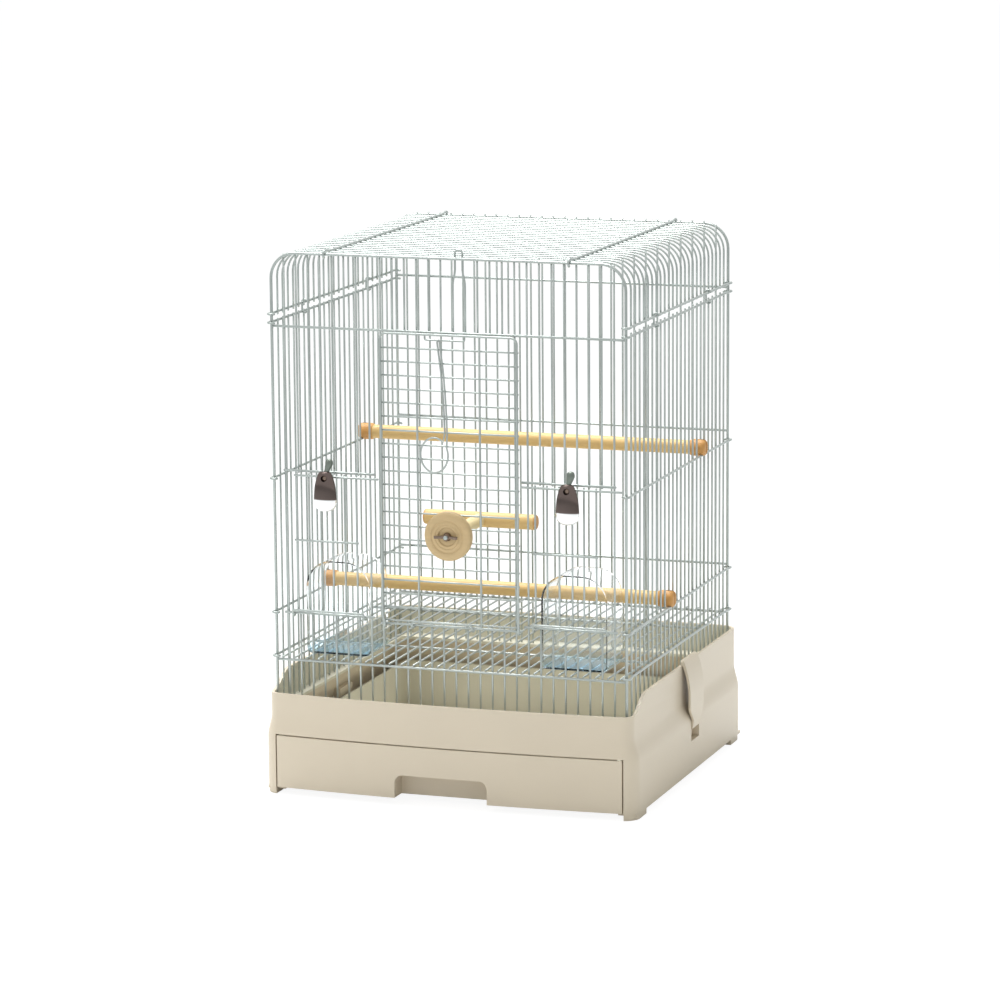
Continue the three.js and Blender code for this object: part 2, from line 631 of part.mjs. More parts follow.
function base() {
  const body = bowl(0, SKIRT_Z, RIM_Z + 3)
    .subtract(bowl(BASE_WALL, SKIRT_Z - 4, LEDGE_Z[0]))
    .subtract(prismOf(plan(inset(COLLAR, BASE_WALL)), LEDGE_Z[1], RIM_Z + 10))
    .subtract(prismOf(plan(THROAT), LEDGE_Z[0] - 5, RIM_Z + 10))
    .subtract(aboveRim());
  const filled = prismOf(plan(inset(SKIRT, 0.6)), 0, SKIRT_Z + 3);
  const corners = [-1, 1].flatMap((sx) =>
    [[-200, -146], [146, 200]].map((ys) =>
      filled.intersect(box(sx > 0 ? [DRAWER_HALF + DRAWER_GAP, 200] : [-200, -DRAWER_HALF - DRAWER_GAP], ys, [0, SKIRT_Z + 3])),
    ),
  );
  const runners = [-1, 1].map((s) =>
    box(s > 0 ? [172, 190] : [-190, -172], [-176, 186], [DRAWER_Z[0] - 3.1, DRAWER_Z[0] - 0.3]),
  );
  const pockets = [-1, 1].map((s) =>
    box(s > 0 ? [181.5, 191] : [-191, -181.5], [CLIP_FOOT_Y[0] - 5, CLIP_FOOT_Y[1] + 5], [CLIP_RECESS_Z - 4, FLARE_Z[0] + 10])
      .intersect(bowl(0.5, 0, RIM_Z)),
  );
  let whole = weld(body, corners, runners, pockets);
  const mouth = [-DRAWER_HALF - DRAWER_GAP, DRAWER_HALF + DRAWER_GAP];
  whole = whole.subtract(box(mouth, [-210, -150], [DRAWER_Z[0] - 0.3, DRAWER_Z[1] + DRAWER_GAP]));
  whole = whole.subtract(box(mouth, [-210, -176.5], [-5, DRAWER_Z[1] + DRAWER_GAP]));
  for (const s of [-1, 1]) {
    whole = whole.subtract(
      box(s > 0 ? [CLIP_PIN.x - 4.6, 200] : [-200, -CLIP_PIN.x + 4.6], [CLIP_FOOT_Y[0] - 0.6, CLIP_FOOT_Y[1] + 0.6], [CLIP_RECESS_Z, FLARE_Z[0] + 5]),
    );
    whole = whole.subtract(
      alongY(rod(CLIP_PIN.r + 0.1, CLIP_FOOT_Y[0] - 3, CLIP_FOOT_Y[1] + 3, 16)).translate([s * CLIP_PIN.x, 0, CLIP_PIN.z]),
    );
  }
  return whole;
}

function drawer() {
  const [z0, z1] = DRAWER_Z;
  const front = inset(SKIRT, 0);
  const slab = (d, zs, back) =>
    prismOf(plan(inset(front, d)), zs[0], zs[1]).intersect(
      box([-DRAWER_HALF + d, DRAWER_HALF - d], [-200, back - d], [zs[0], zs[1]]),
    );
  const w = DRAWER_WALL;
  const body = slab(0, [z0, z1], 181).subtract(slab(w, [z0 + w, z1 + 5], 181));
  // Finger notch in the lower edge, with walls that keep the drawer shut.
  const notch = (grow, y0, y1) => {
    const [x0, x1] = [NOTCH.x[0] - grow, NOTCH.x[1] + grow];
    const r = 8 + grow;
    const outline = [
      [x0, z0 - (grow ? 0 : 5)], [x1, z0 - (grow ? 0 : 5)],
      ...arc(x1 - r, NOTCH.top + grow - r, r, 0, 90, 4),
      ...arc(x0 + r, NOTCH.top + grow - r, r, 90, 180, 4),
    ];
    return prismY(outline, y0, y1);
  };
  const inner = SKIRT[1] - SKIRT[2] + NOTCH.depth;
  const wall = notch(w, -186, inner + w).intersect(prismOf(plan(front), z0, z1));
  return body.add(wall).subtract(notch(0, -200, inner));
}

// ---------------------------------------------------------------- side clips

// A leaf bowed outwards from the collar, with a lip over the rim and a barrel round its pin.
function sideClip(s) {
  const wall = COLLAR[0];
  const out = wall + CLIP_BOW;
  const p = CLIP_PIN;
  const inner = [
    [p.x + 1.6, p.z], [p.x + 2.9, p.z + 6], [out - 0.7, 66], [out, 76], [out, 88], [out - 0.9, 98],
    [out - 2.7, 107], [wall + 2, 114], [wall + 0.5, RIM_Z + 0.4], [wall - 1.4, RIM_Z + 0.4],
  ];
  const outer = [
    [p.x + 3.9, p.z], [p.x + 5.2, p.z + 6], [out - 0.7 + CLIP_T, 66], [out + CLIP_T, 76], [out + CLIP_T, 88],
    [out - 0.9 + CLIP_T, 98.6], [out - 2.7 + CLIP_T, 108], [wall + 4.4, 115.4], [wall + 2.8, RIM_Z + 3.4],
    [wall + 1, RIM_Z + 5.4], [wall - 1.4, RIM_Z + 5.4],
  ];
  const leaf = prismY([...inner, ...outer.reverse()], CLIP_Y[0], CLIP_Y[1]);
  // Seen from the side, the leaf narrows to its foot.
  const [y0, y1] = CLIP_Y;
  const [f0, f1] = CLIP_FOOT_Y;
  const face = [[y0, 74], [f0, 57], [f0, 40], [f1, 40], [f1, 57], [y1, 64], [y1, RIM_Z + 8], [y0, RIM_Z + 8]];
  const m = new THREE.Matrix4().makeBasis(new THREE.Vector3(0, 1, 0), new THREE.Vector3(0, 0, 1), new THREE.Vector3(1, 0, 0));
  const shape = new THREE.Shape(face.map(([y, z]) => new THREE.Vector2(y, z)));
  const cutter = solid(new THREE.ExtrudeGeometry(shape, { depth: 40, bevelEnabled: false }).applyMatrix4(m).translate(170, 0, 0));
  const barrel = alongY(rod(3.9, f0, f1, 16)).translate([p.x, 0, p.z]);
  const bore = alongY(rod(p.r + 0.1, f0 - 5, f1 + 5, 16)).translate([p.x, 0, p.z]);
  const body = leaf.intersect(cutter).add(barrel).subtract(bore);
  return s > 0 ? body : body.mirror([1, 0, 0]);
}

function clipPin(s) {
  const pin = alongY(rod(CLIP_PIN.r, CLIP_FOOT_Y[0] - 2.6, CLIP_FOOT_Y[1] + 2.6, 16));
  return pin.translate([s * CLIP_PIN.x, 0, CLIP_PIN.z]);
}

// ---------------------------------------------------------------- assembly

const STEEL = 0xb2b6b6;
const CREAM = 0xd0c7b0;
const WOOD = 0xe8c882;
const cage = new THREE.Group();
cage.name = "canary_breeding_cage";

function piece(name, body, color) {
  const { vertProperties, triVerts } = body.getMesh();
  const g = new THREE.BufferGeometry();
  g.setAttribute("position", new THREE.BufferAttribute(new Float32Array(vertProperties), 3));
  g.setIndex(new THREE.BufferAttribute(new Uint32Array(triVerts), 1));
  g.computeVertexNormals();
  const mesh = new THREE.Mesh(g, new THREE.MeshStandardMaterial({ color }));
  mesh.name = name;
  cage.add(mesh);
}

piece("base", base(), CREAM);
piece("drawer", drawer(), CREAM);
piece("floor_grid", floorGrid(), STEEL);
piece("front_panel", frontPanel(), STEEL);
piece("back_panel", backPanel(), STEEL);
piece("side_panel_left", sidePanel(-1), STEEL);
piece("side_panel_right", sidePanel(1), STEEL);
piece("roof_grille", roofGrille(), STEEL);
for (const [side, s] of [["left", -1], ["right", 1]]) {
  piece(`ring_clip_${side}_front`, ringClip(s, sideY(6.5)), STEEL);
  piece(`ring_clip_${side}_back`, ringClip(s, sideY(19.5)), STEEL);
}

piece("large_door", largeDoor(), STEEL);
piece("latch_rod", latchRod(), STEEL);
piece("perch_disc", perchDisc(), WOOD);
piece("perch_stem", perchStem(), WOOD);
piece("perch_cross_bar", perchCrossBar(), WOOD);
piece("perch_bolt", perchBolt(), STEEL);
piece("wing_nut", wingNut(), STEEL);

piece("feeder_door_left", feederDoor(FEEDER_LEFT_X, -157.4, -69.6), STEEL);
piece("feeder_door_right", feederDoor(FEEDER_RIGHT_X, 75, 178), STEEL);
piece("latch_pin_left", latchPin(LATCH_X[0]), STEEL);
piece("latch_pin_right", latchPin(LATCH_X[1]), STEEL);
piece("feeder_latch_left", feederLatch(LATCH_X[0], 4), 0xe0e4e6);
piece("feeder_latch_right", feederLatch(LATCH_X[1], 3), 0xe0e4e6);
piece("cup_left", cup(-1), 0xc8dce8);
piece("cup_right", cup(1), 0xc8dce8);

const UPPER_Y = sideY(18);
const LOWER_Y = sideY(10);
piece("perch_upper", perch(UPPER_Y, SIDE_MID_Z), WOOD);
piece("perch_lower", perch(LOWER_Y, SIDE_LOW_Z), WOOD);
for (const [side, s] of [["left", -1], ["right", 1]]) {
  piece(`side_clip_${side}`, sideClip(s), CREAM);
  piece(`clip_pin_${side}`, clipPin(s), STEEL);
}

export default cage;
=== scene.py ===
# %% [markdown]
# # A canary breeding cage in wire, cream plastic and wood
# The imported CAD model holds every piece at its real size and place. This lesson loads it, hangs
# each piece on its body, and builds a finished surface for each piece: round drawn wire in place of
# four-sided bars, moulded plastic with soft edges, turned wood with grain, and clear cups.
# Sizes below are in millimetres and are turned into metres when a mesh is made.

# %% Load the frame
import math

import bmesh
import bpy
from mathutils import Matrix, Vector


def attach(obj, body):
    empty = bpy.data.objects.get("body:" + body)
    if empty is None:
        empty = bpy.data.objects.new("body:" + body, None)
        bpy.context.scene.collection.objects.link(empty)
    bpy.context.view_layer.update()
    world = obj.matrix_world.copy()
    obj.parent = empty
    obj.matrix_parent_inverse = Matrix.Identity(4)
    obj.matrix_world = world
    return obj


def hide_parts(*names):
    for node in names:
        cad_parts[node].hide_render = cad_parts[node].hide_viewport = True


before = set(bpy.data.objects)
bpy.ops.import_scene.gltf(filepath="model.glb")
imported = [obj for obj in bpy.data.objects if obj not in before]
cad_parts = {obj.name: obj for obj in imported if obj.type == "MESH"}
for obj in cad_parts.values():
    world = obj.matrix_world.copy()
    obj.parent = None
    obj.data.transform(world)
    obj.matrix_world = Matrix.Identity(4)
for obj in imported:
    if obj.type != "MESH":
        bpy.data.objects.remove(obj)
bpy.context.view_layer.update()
MM = 0.001

# %% [markdown]
# The camera comes first, because every later choice is judged through it. Its direction, distance
# and small roll were solved from the crossings of the front and side wires, so a wire in the
# render falls where the same wire does in the photograph.

# %% Camera
AZIMUTH, ELEVATION, ROLL = math.radians(19.26), math.radians(10.35), math.radians(-0.43)
AIM = Vector((-7.1, 0, 271.4)) * MM
DISTANCE = 4.268
LENS = 153.5

lens = bpy.data.cameras.new("long_lens")
lens.lens = LENS
lens.sensor_width = 36
lens.clip_end = 50
camera = bpy.data.objects.new("long_lens", lens)
towards_camera = Vector(
    (
        math.sin(AZIMUTH) * math.cos(ELEVATION),
        -math.cos(AZIMUTH) * math.cos(ELEVATION),
        math.sin(ELEVATION),
    )
)
look = towards_camera.to_track_quat("Z", "Y").to_matrix().to_4x4()
camera.matrix_world = (
    Matrix.Translation(AIM + towards_camera * DISTANCE) @ look @ Matrix.Rotation(ROLL, 4, "Z")
)
bpy.context.scene.collection.objects.link(camera)
bpy.context.scene.camera = camera
print("camera at", [round(c, 3) for c in camera.location])

# %% [markdown]
# Bright wire and a chromed drop need something pale all round them to reflect, and the photograph
# has a white background. The world is a plain grey-white for light, and pure white for the rays
# that the camera, a mirror or clear plastic sends past the cage. Two large soft lamps shape the
# plastic and the wood. The one overhead is much the stronger, since the roof wires nearly burn out.

# %% Studio
WORLD_COLOUR, WORLD_STRENGTH = (0.95, 0.98, 0.965, 1), 0.56
LAMP_SIZE = 1.4
CAGE_MIDDLE = Vector((0, 0, 0.27))
scene = bpy.context.scene
scene.view_settings.view_transform = "Standard"

world = bpy.data.worlds.new("pale_studio")
world.use_nodes = True
scene.world = world
nodes, links = world.node_tree.nodes, world.node_tree.links
nodes.clear()
paths = nodes.new("ShaderNodeLightPath")
seen = paths.outputs["Is Camera Ray"]
for ray in ("Is Glossy Ray", "Is Transmission Ray"):
    both = nodes.new("ShaderNodeMath")
    both.operation = "MAXIMUM"
    links.new(seen, both.inputs[0])
    links.new(paths.outputs[ray], both.inputs[1])
    seen = both.outputs[0]
lighting = nodes.new("ShaderNodeBackground")
lighting.inputs["Color"].default_value = WORLD_COLOUR
lighting.inputs["Strength"].default_value = WORLD_STRENGTH
backdrop = nodes.new("ShaderNodeBackground")
backdrop.inputs["Color"].default_value = (1, 1, 1, 1)
backdrop.inputs["Strength"].default_value = 1.0
either = nodes.new("ShaderNodeMixShader")
world_out = nodes.new("ShaderNodeOutputWorld")
links.new(seen, either.inputs[0])
links.new(lighting.outputs[0], either.inputs[1])
links.new(backdrop.outputs[0], either.inputs[2])
links.new(either.outputs[0], world_out.inputs[0])


def soft_lamp(name, place, power):
    """A square area lamp that looks at the middle of the cage."""
    data = bpy.data.lights.new(name, "AREA")
    data.size = LAMP_SIZE
    data.energy = power
    lamp = bpy.data.objects.new(name, data)
    lamp.location = place
    lamp.rotation_euler = (Vector(place) - CAGE_MIDDLE).to_track_quat("Z", "Y").to_euler()
    scene.collection.objects.link(lamp)
    print(name, "of", power, "watts at", place)


soft_lamp("top_lamp", (-0.5, 0.35, 2.4), 88)
soft_lamp("key_lamp", (-1.3, -2.2, 2.2), 12)

# %% [markdown]
# The floor is a pale sheet. A glow that only the camera sees makes it white. The glow takes most of
# the mix but not all of it, so the part that the lamps light still carries the cage's soft shadow.

# %% Floor
FLOOR_SIZE, FLOOR_GLOW, GLOW_SHARE = 30, 1.14, 0.8

bpy.ops.mesh.primitive_plane_add(size=FLOOR_SIZE)
floor = bpy.context.object
floor.name = "studio_floor"
floor_finish = bpy.data.materials.new("studio_floor")
floor_finish.use_nodes = True
nodes, links = floor_finish.node_tree.nodes, floor_finish.node_tree.links
paper = nodes["Principled BSDF"]
paper.inputs["Base Color"].default_value = (0.86, 0.87, 0.88, 1)
paper.inputs["Roughness"].default_value = 0.9
paper.inputs["Specular IOR Level"].default_value = 0.0
glow = nodes.new("ShaderNodeEmission")
glow.inputs["Strength"].default_value = FLOOR_GLOW
camera_only = nodes.new("ShaderNodeLightPath")
share = nodes.new("ShaderNodeMath")
share.operation = "MULTIPLY"
share.inputs[1].default_value = GLOW_SHARE
mixed = nodes.new("ShaderNodeMixShader")
links.new(camera_only.outputs["Is Camera Ray"], share.inputs[0])
links.new(share.outputs[0], mixed.inputs[0])
links.new(paper.outputs[0], mixed.inputs[1])
links.new(glow.outputs[0], mixed.inputs[2])
links.new(mixed.outputs[0], nodes["Material Output"].inputs["Surface"])
floor.data.materials.append(floor_finish)

# %% [markdown]
# Real surfaces are never one flat colour. Two effects are shared between finishes, so each is a
# node group with its own inputs. Both end the same way: a slow pattern tints the base colour and
# varies the gloss, and a fine pattern bumps the surface.

# %% Shared effects
COLOUR, NUMBER, VECTOR = "NodeSocketColor", "NodeSocketFloat", "NodeSocketVector"
RESULT = [("Color", COLOUR), ("Roughness", NUMBER), ("Normal", VECTOR)]
BUMP_DEPTH = 0.0004


def node_group(name, inputs, outputs):
    """An empty shader group with named sockets; returns the tree, its input and its output."""
    tree = bpy.data.node_groups.new(name, "ShaderNodeTree")
    for label, kind, value in inputs:
        socket = tree.interface.new_socket(label, in_out="INPUT", socket_type=kind)
        socket.default_value = value
    for label, kind in outputs:
        tree.interface.new_socket(label, in_out="OUTPUT", socket_type=kind)
    return tree, tree.nodes.new("NodeGroupInput"), tree.nodes.new("NodeGroupOutput")


def surface_outputs(tree, given, result, slow, fine):
    """Tint the base and vary the gloss by the `slow` pattern, and bump by the `fine` one."""
    named = given.outputs
    span = tree.nodes.new("ShaderNodeMapRange")
    span.clamp = False
    tree.links.new(slow, span.inputs["Value"])
    tree.links.new(named["Dark"], span.inputs["To Min"])
    tree.links.new(named["Light"], span.inputs["To Max"])
    tint = tree.nodes.new("ShaderNodeVectorMath")
    tint.operation = "SCALE"
    tree.links.new(named["Base"], tint.inputs[0])
    tree.links.new(span.outputs[0], tint.inputs["Scale"])
    tree.links.new(tint.outputs[0], result.inputs["Color"])
    gloss = tree.nodes.new("ShaderNodeMath")
    gloss.operation = "MULTIPLY_ADD"
    tree.links.new(slow, gloss.inputs[0])
    tree.links.new(named["Rough Spread"], gloss.inputs[1])
    tree.links.new(named["Rough"], gloss.inputs[2])
    tree.links.new(gloss.outputs[0], result.inputs["Roughness"])
    relief = tree.nodes.new("ShaderNodeBump")
    relief.inputs["Distance"].default_value = BUMP_DEPTH
    tree.links.new(named["Bump"], relief.inputs["Strength"])
    tree.links.new(fine, relief.inputs["Height"])
    tree.links.new(relief.outputs[0], result.inputs["Normal"])


# %% [markdown]
# "mottle" is for plastic and metal. It gives a slow drift in colour and gloss, and a fine moulded
# or plated texture. Both are noise in the object's own space, so nothing has to be unwrapped.

# %% Mottle


def build_mottle():
    tree, given, result = node_group(
        "mottle",
        [
            ("Base", COLOUR, (0.8, 0.8, 0.8, 1)),
            ("Dark", NUMBER, 0.95),
            ("Light", NUMBER, 1.04),
            ("Patch Scale", NUMBER, 14.0),
            ("Fine Scale", NUMBER, 900.0),
            ("Rough", NUMBER, 0.4),
            ("Rough Spread", NUMBER, 0.08),
            ("Bump", NUMBER, 0.12),
        ],
        RESULT,
    )
    where = tree.nodes.new("ShaderNodeTexCoord")
    patches = tree.nodes.new("ShaderNodeTexNoise")
    patches.inputs["Detail"].default_value = 5
    fine = tree.nodes.new("ShaderNodeTexNoise")
    fine.inputs["Detail"].default_value = 2
    for noise, scale in ((patches, "Patch Scale"), (fine, "Fine Scale")):
        tree.links.new(where.outputs["Object"], noise.inputs["Vector"])
        tree.links.new(given.outputs[scale], noise.inputs["Scale"])
    surface_outputs(tree, given, result, patches.outputs["Fac"], fine.outputs["Fac"])
    return tree


MOTTLE = build_mottle()
print("shared effect:", MOTTLE.name)

# %% [markdown]
# "grain" is for wood. The coordinates are squeezed across the stick before the noise is read, so
# that its patches draw out into long fibres. A finer noise on the same coordinates makes the pores.

# %% Grain


def build_grain():
    tree, given, result = node_group(
        "grain",
        [
            ("Base", COLOUR, (0.8, 0.6, 0.35, 1)),
            ("Dark", NUMBER, 0.7),
            ("Light", NUMBER, 1.12),
            ("Stretch", VECTOR, (2.0, 90.0, 90.0)),
            ("Rough", NUMBER, 0.5),
            ("Rough Spread", NUMBER, 0.15),
            ("Bump", NUMBER, 0.25),
        ],
        RESULT,
    )
    where = tree.nodes.new("ShaderNodeTexCoord")
    along = tree.nodes.new("ShaderNodeVectorMath")
    along.operation = "MULTIPLY"
    tree.links.new(where.outputs["Object"], along.inputs[0])
    tree.links.new(given.outputs["Stretch"], along.inputs[1])
    fibres = tree.nodes.new("ShaderNodeTexNoise")
    fibres.inputs["Scale"].default_value = 4.0
    fibres.inputs["Detail"].default_value = 8
    fibres.inputs["Roughness"].default_value = 0.7
    pores = tree.nodes.new("ShaderNodeTexNoise")
    pores.inputs["Scale"].default_value = 22.0
    pores.inputs["Detail"].default_value = 3
    for noise in (fibres, pores):
        tree.links.new(along.outputs[0], noise.inputs["Vector"])
    surface_outputs(tree, given, result, fibres.outputs["Fac"], pores.outputs["Fac"])
    return tree


GRAIN = build_grain()
print("shared effect:", GRAIN.name)

# %% [markdown]
# Each finish is one Principled shader fed by one of those groups. Numbers that stay the same over
# the whole surface, such as metal or transmission, sit on the shader itself.

# %% Finish maker


def linear(r, g, b):
    """A colour given as 0 to 255 sRGB, as linear light for the shader."""
    def one(v):
        v /= 255
        return v / 12.92 if v <= 0.04045 else ((v + 0.055) / 1.055) ** 2.4
    return (one(r), one(g), one(b), 1)


def finish(name, effect, colour, settings, shader):
    """A material whose colour, gloss and bump come from a shared effect."""
    material = bpy.data.materials.new(name)
    material.use_nodes = True
    tree = material.node_tree
    principled = tree.nodes["Principled BSDF"]
    texture = tree.nodes.new("ShaderNodeGroup")
    texture.node_tree = effect
    texture.inputs["Base"].default_value = colour
    for label, value in settings.items():
        texture.inputs[label].default_value = value
    tree.links.new(texture.outputs["Color"], principled.inputs["Base Color"])
    tree.links.new(texture.outputs["Roughness"], principled.inputs["Roughness"])
    tree.links.new(texture.outputs["Normal"], principled.inputs["Normal"])
    for label, value in shader.items():
        principled.inputs[label].default_value = value
    return material

# %% [markdown]
# The moulded parts are one cream. Inside they get a paler copy of it: painted light that brightens
# the faces shaded by the cage and the collar. The wire is plated steel, bright but dulled by fine
# marks, so it is only partly metal here. The hooded cups are so clear that they nearly vanish, and
# a low index of refraction with a glossy coat gives that without a dark outline.

# %% Plastic and metal
CREAM = finish(
    "cream_plastic", MOTTLE, linear(213, 200, 179),
    {"Dark": 0.95, "Light": 1.04, "Rough": 0.36, "Rough Spread": 0.12, "Bump": 0.10},
    {"Specular IOR Level": 0.45},
)
# A paler copy of the same cream: painted light for the shaded faces inside the base and drawer.
CREAM_PAINTED_LIGHT = finish(
    "cream_plastic_painted_light", MOTTLE, linear(224, 220, 203),
    {"Dark": 0.95, "Light": 1.03, "Rough": 0.4, "Rough Spread": 0.12, "Bump": 0.10},
    {"Specular IOR Level": 0.45},
)
PLATED = finish(
    "plated_wire", MOTTLE, linear(173, 180, 177),
    {"Dark": 0.84, "Light": 1.14, "Patch Scale": 60.0, "Fine Scale": 1600.0, "Rough": 0.24,
     "Rough Spread": 0.16, "Bump": 0.08},
    {"Metallic": 0.55},
)
CHROME = finish(
    "chrome_plate", MOTTLE, linear(225, 228, 232),
    {"Dark": 0.93, "Light": 1.05, "Rough": 0.08, "Rough Spread": 0.08, "Bump": 0.02},
    {"Metallic": 0.9},
)
FINGER_GREY = finish(
    "finger_grey", MOTTLE, linear(112, 120, 112),
    {"Dark": 0.8, "Light": 1.2, "Patch Scale": 120.0, "Rough": 0.3, "Bump": 0.1},
    {"Metallic": 0.5},
)
CAST_METAL = finish(
    "cast_metal", MOTTLE, linear(128, 112, 100),
    {"Dark": 0.7, "Light": 1.3, "Patch Scale": 160.0, "Rough": 0.22, "Rough Spread": 0.2,
     "Bump": 0.2},
    {"Metallic": 0.9},
)
CLEAR = finish(
    "clear_plastic", MOTTLE, linear(240, 247, 250),
    {"Dark": 0.985, "Light": 1.0, "Rough": 0.0, "Rough Spread": 0.04, "Bump": 0.01},
    {"Transmission Weight": 0.98, "IOR": 1.05, "Coat Weight": 0.5, "Coat IOR": 1.4},
)
moulded, metal = (CREAM, CREAM_PAINTED_LIGHT, CLEAR), (PLATED, CHROME, FINGER_GREY, CAST_METAL)
print("plastics:", [m.name for m in moulded], "metals:", [m.name for m in metal])

# %% [markdown]
# The perches are pale turned wood, and the knobs at their ends are darker and redder. Fibres run
# along a stick, so each wood finish says which way that is: the smallest number of the three
# stretches the grain that way.

# %% Wood
ALONG_X, ALONG_Y, ACROSS_DISC = (1.6, 60.0, 60.0), (60.0, 1.6, 60.0), (14.0, 40.0, 70.0)


def wood(name, colour, stretch, dark=0.72, light=1.12):
    """A wood finish with its fibres along the smallest of the three stretches."""
    return finish(
        name, GRAIN, colour,
        {"Dark": dark, "Light": light, "Stretch": stretch, "Rough": 0.42},
        {"Specular IOR Level": 0.4},
    )


PERCH_WOOD = wood("perch_wood", linear(229, 192, 128), ALONG_X)
STEM_WOOD = wood("stem_wood", linear(236, 216, 166), ALONG_Y)
DISC_WOOD = wood("disc_wood", linear(206, 179, 134), ACROSS_DISC, 0.8, 1.1)
KNOB_WOOD = wood("knob_wood", linear(212, 156, 88), ALONG_X, 0.66, 1.12)
print("woods:", [m.name for m in (PERCH_WOOD, STEM_WOOD, DISC_WOOD, KNOB_WOOD)])

# %% [markdown]
# Nearly everything on the cage is wire, so one good wire maker does most of the work. A curve with
# a bevel would do it, but a mesh made here keeps control of the ends: each wire is a ring of
# points carried along its route without twisting, and its two ends are slightly rounded, as on
# wire that has been cropped and tumbled. All the wires of one panel go into one mesh.

# %% Wire maker
WIRE_SIDES = 10
TIP_LENGTH, TIP_RADIUS = 0.4, 0.55


def carried_frames(points):
    """A tangent and a side vector at each point, turned as little as possible along the way."""
    count = len(points)
    tangents = []
    for k in range(count):
        t = Vector((0, 0, 0))
        if k > 0:
            t += (points[k] - points[k - 1]).normalized()
        if k < count - 1:
            t += (points[k + 1] - points[k]).normalized()
        tangents.append(t.normalized())
    side = tangents[0].orthogonal().normalized()
    frames = [(tangents[0], side)]
    for k in range(1, count):
        side = tangents[k - 1].rotation_difference(tangents[k]) @ side
        side = (side - tangents[k] * side.dot(tangents[k])).normalized()
        frames.append((tangents[k], side))
    return frames


def bridge(bm, one, two):
    """A band of four-sided faces between two rings with as many points."""
    for j in range(len(one)):
        n = (j + 1) % len(one)
        bm.faces.new((one[j], one[n], two[n], two[j]))


def add_wire(bm, route, radius):
    """Add a wire of `radius` through `route` (millimetres) to a bmesh."""
    points = [Vector(p) for p in route]
    start = (points[1] - points[0]).normalized() * radius * TIP_LENGTH
    end = (points[-1] - points[-2]).normalized() * radius * TIP_LENGTH
    points = [points[0], points[0] + start, *points[1:-1], points[-1] - end, points[-1]]
    turns = [2 * math.pi * j / WIRE_SIDES for j in range(WIRE_SIDES)]
    rings = []
    for k, (point, (tangent, side)) in enumerate(zip(points, carried_frames(points))):
        other = tangent.cross(side)
        r = radius * TIP_RADIUS if k in (0, len(points) - 1) else radius
        rings.append([
            bm.verts.new((point + (side * math.cos(a) + other * math.sin(a)) * r) * MM)
            for a in turns
        ])
    for one, two in zip(rings, rings[1:]):
        bridge(bm, one, two)
    bm.faces.new(rings[0][::-1])
    bm.faces.new(rings[-1])


# %% [markdown]
# Every piece ends the same way. Its faces are shaded smooth and only its true edges stay crisp.
# Then it says which body it rides on and which CAD piece it stands for, and takes its finishes.

# %% Pieces


def settle(obj, body, node, slot, *materials):
    """Say which body a piece rides on, which CAD node it stands for and how it is finished."""
    for material in materials:
        obj.data.materials.append(material)
    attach(obj, body)
    if node:
        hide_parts(node)
    return obj


def mesh_object(name, bm, sharp=None):
    """Turn a bmesh into a smooth-shaded object; edges over `sharp` degrees stay crisp."""
    bmesh.ops.recalc_face_normals(bm, faces=bm.faces)
    if sharp is not None:
        limit = math.radians(sharp)
        for edge in bm.edges:
            if len(edge.link_faces) == 2 and edge.calc_face_angle(0) > limit:
                edge.smooth = False
    for face in bm.faces:
        face.smooth = True
    mesh = bpy.data.meshes.new(name)
    bm.to_mesh(mesh)
    bm.free()
    obj = bpy.data.objects.new(name, mesh)
    scene.collection.objects.link(obj)
    return obj


def wire_piece(name, wires, body, node):
    """One piece from a list of (route, radius) wires."""
    bm = bmesh.new()
    for route, radius in wires:
        add_wire(bm, route, radius)
    settle(mesh_object(name, bm), body, node, "steel_wire", PLATED)
    print(name, len(wires), "wires")


# %% [markdown]
# The panel sizes are the ones the wire shell was designed with. The front has 29 gaps of 12.4 mm,
# the side 25 gaps of 13.6 mm. Rails and the arch lie on the outside of the uprights.

# %% Sizes of the wire shell
HALF_W, HALF_D = 179.8, 170.0
PITCH, GAPS = 12.4, 29
SIDE_PITCH, SIDE_GAPS = 13.6, 25
R_UPRIGHT, R_RAIL, R_EDGE = 1.0, 1.25, 1.45
R_FRAME, R_BAR, R_THIN = 1.2, 1.1, 0.9
RAIL_OUT, EDGE_OUT = 2.0, 2.1
FOOT_Z = 88.3
ARCH_Z, ARCH_R = 535.5, 25.0
TAIL = 2.7
ROOF_RAIL_Z, SILL_Z = 464.0, 177.0
FEEDER_RAIL_Z, FEEDER_SILL_Z, GRID_RAIL_Z = 322.8, 181.6, 134.0
BACK_RAILS_Z = (471.0, 323.5, 184.5, GRID_RAIL_Z)
SIDE_TOP_Z, SIDE_MID_Z, SIDE_LOW_Z = 467.0, 314.0, 181.0
SIDE_RAILS_Z = (SIDE_TOP_Z, SIDE_MID_Z, SIDE_LOW_Z, 137.4)
ROOF_SIDE_Z = 475.5
DOOR_MID, DOOR_HALF = 2.3, 69.5
HOOK_R = 3.4
print("front", 2 * HALF_W, "mm wide, side", 2 * HALF_D, "mm deep, arch", ARCH_Z, "mm high")

# %% [markdown]
# All wires follow a few kinds of route: a straight upright, a straight rail, an arc and the arch.
# Each route is a list of points, so that a panel is only a list of routes with their radii.

# %% Routes


def up_x(i):
    return -HALF_W + PITCH * i


def side_y(j):
    return -HALF_D + SIDE_PITCH * j


def mix(a, b, t):
    return a + (b - a) * t


def arc(a, b, r, start, end, steps, rb=None):
    """Points on an arc about (a, b), in degrees."""
    rb = r if rb is None else rb
    turns = [math.radians(mix(start, end, k / steps)) for k in range(steps + 1)]
    return [(a + r * math.cos(t), b + rb * math.sin(t)) for t in turns]


def arch_z(x):
    """The height of the arch wire at a place across the cage."""
    over = abs(x) - (HALF_W - ARCH_R)
    return ARCH_Z - ARCH_R + (math.sqrt(ARCH_R**2 - over**2) if over > 0 else ARCH_R)


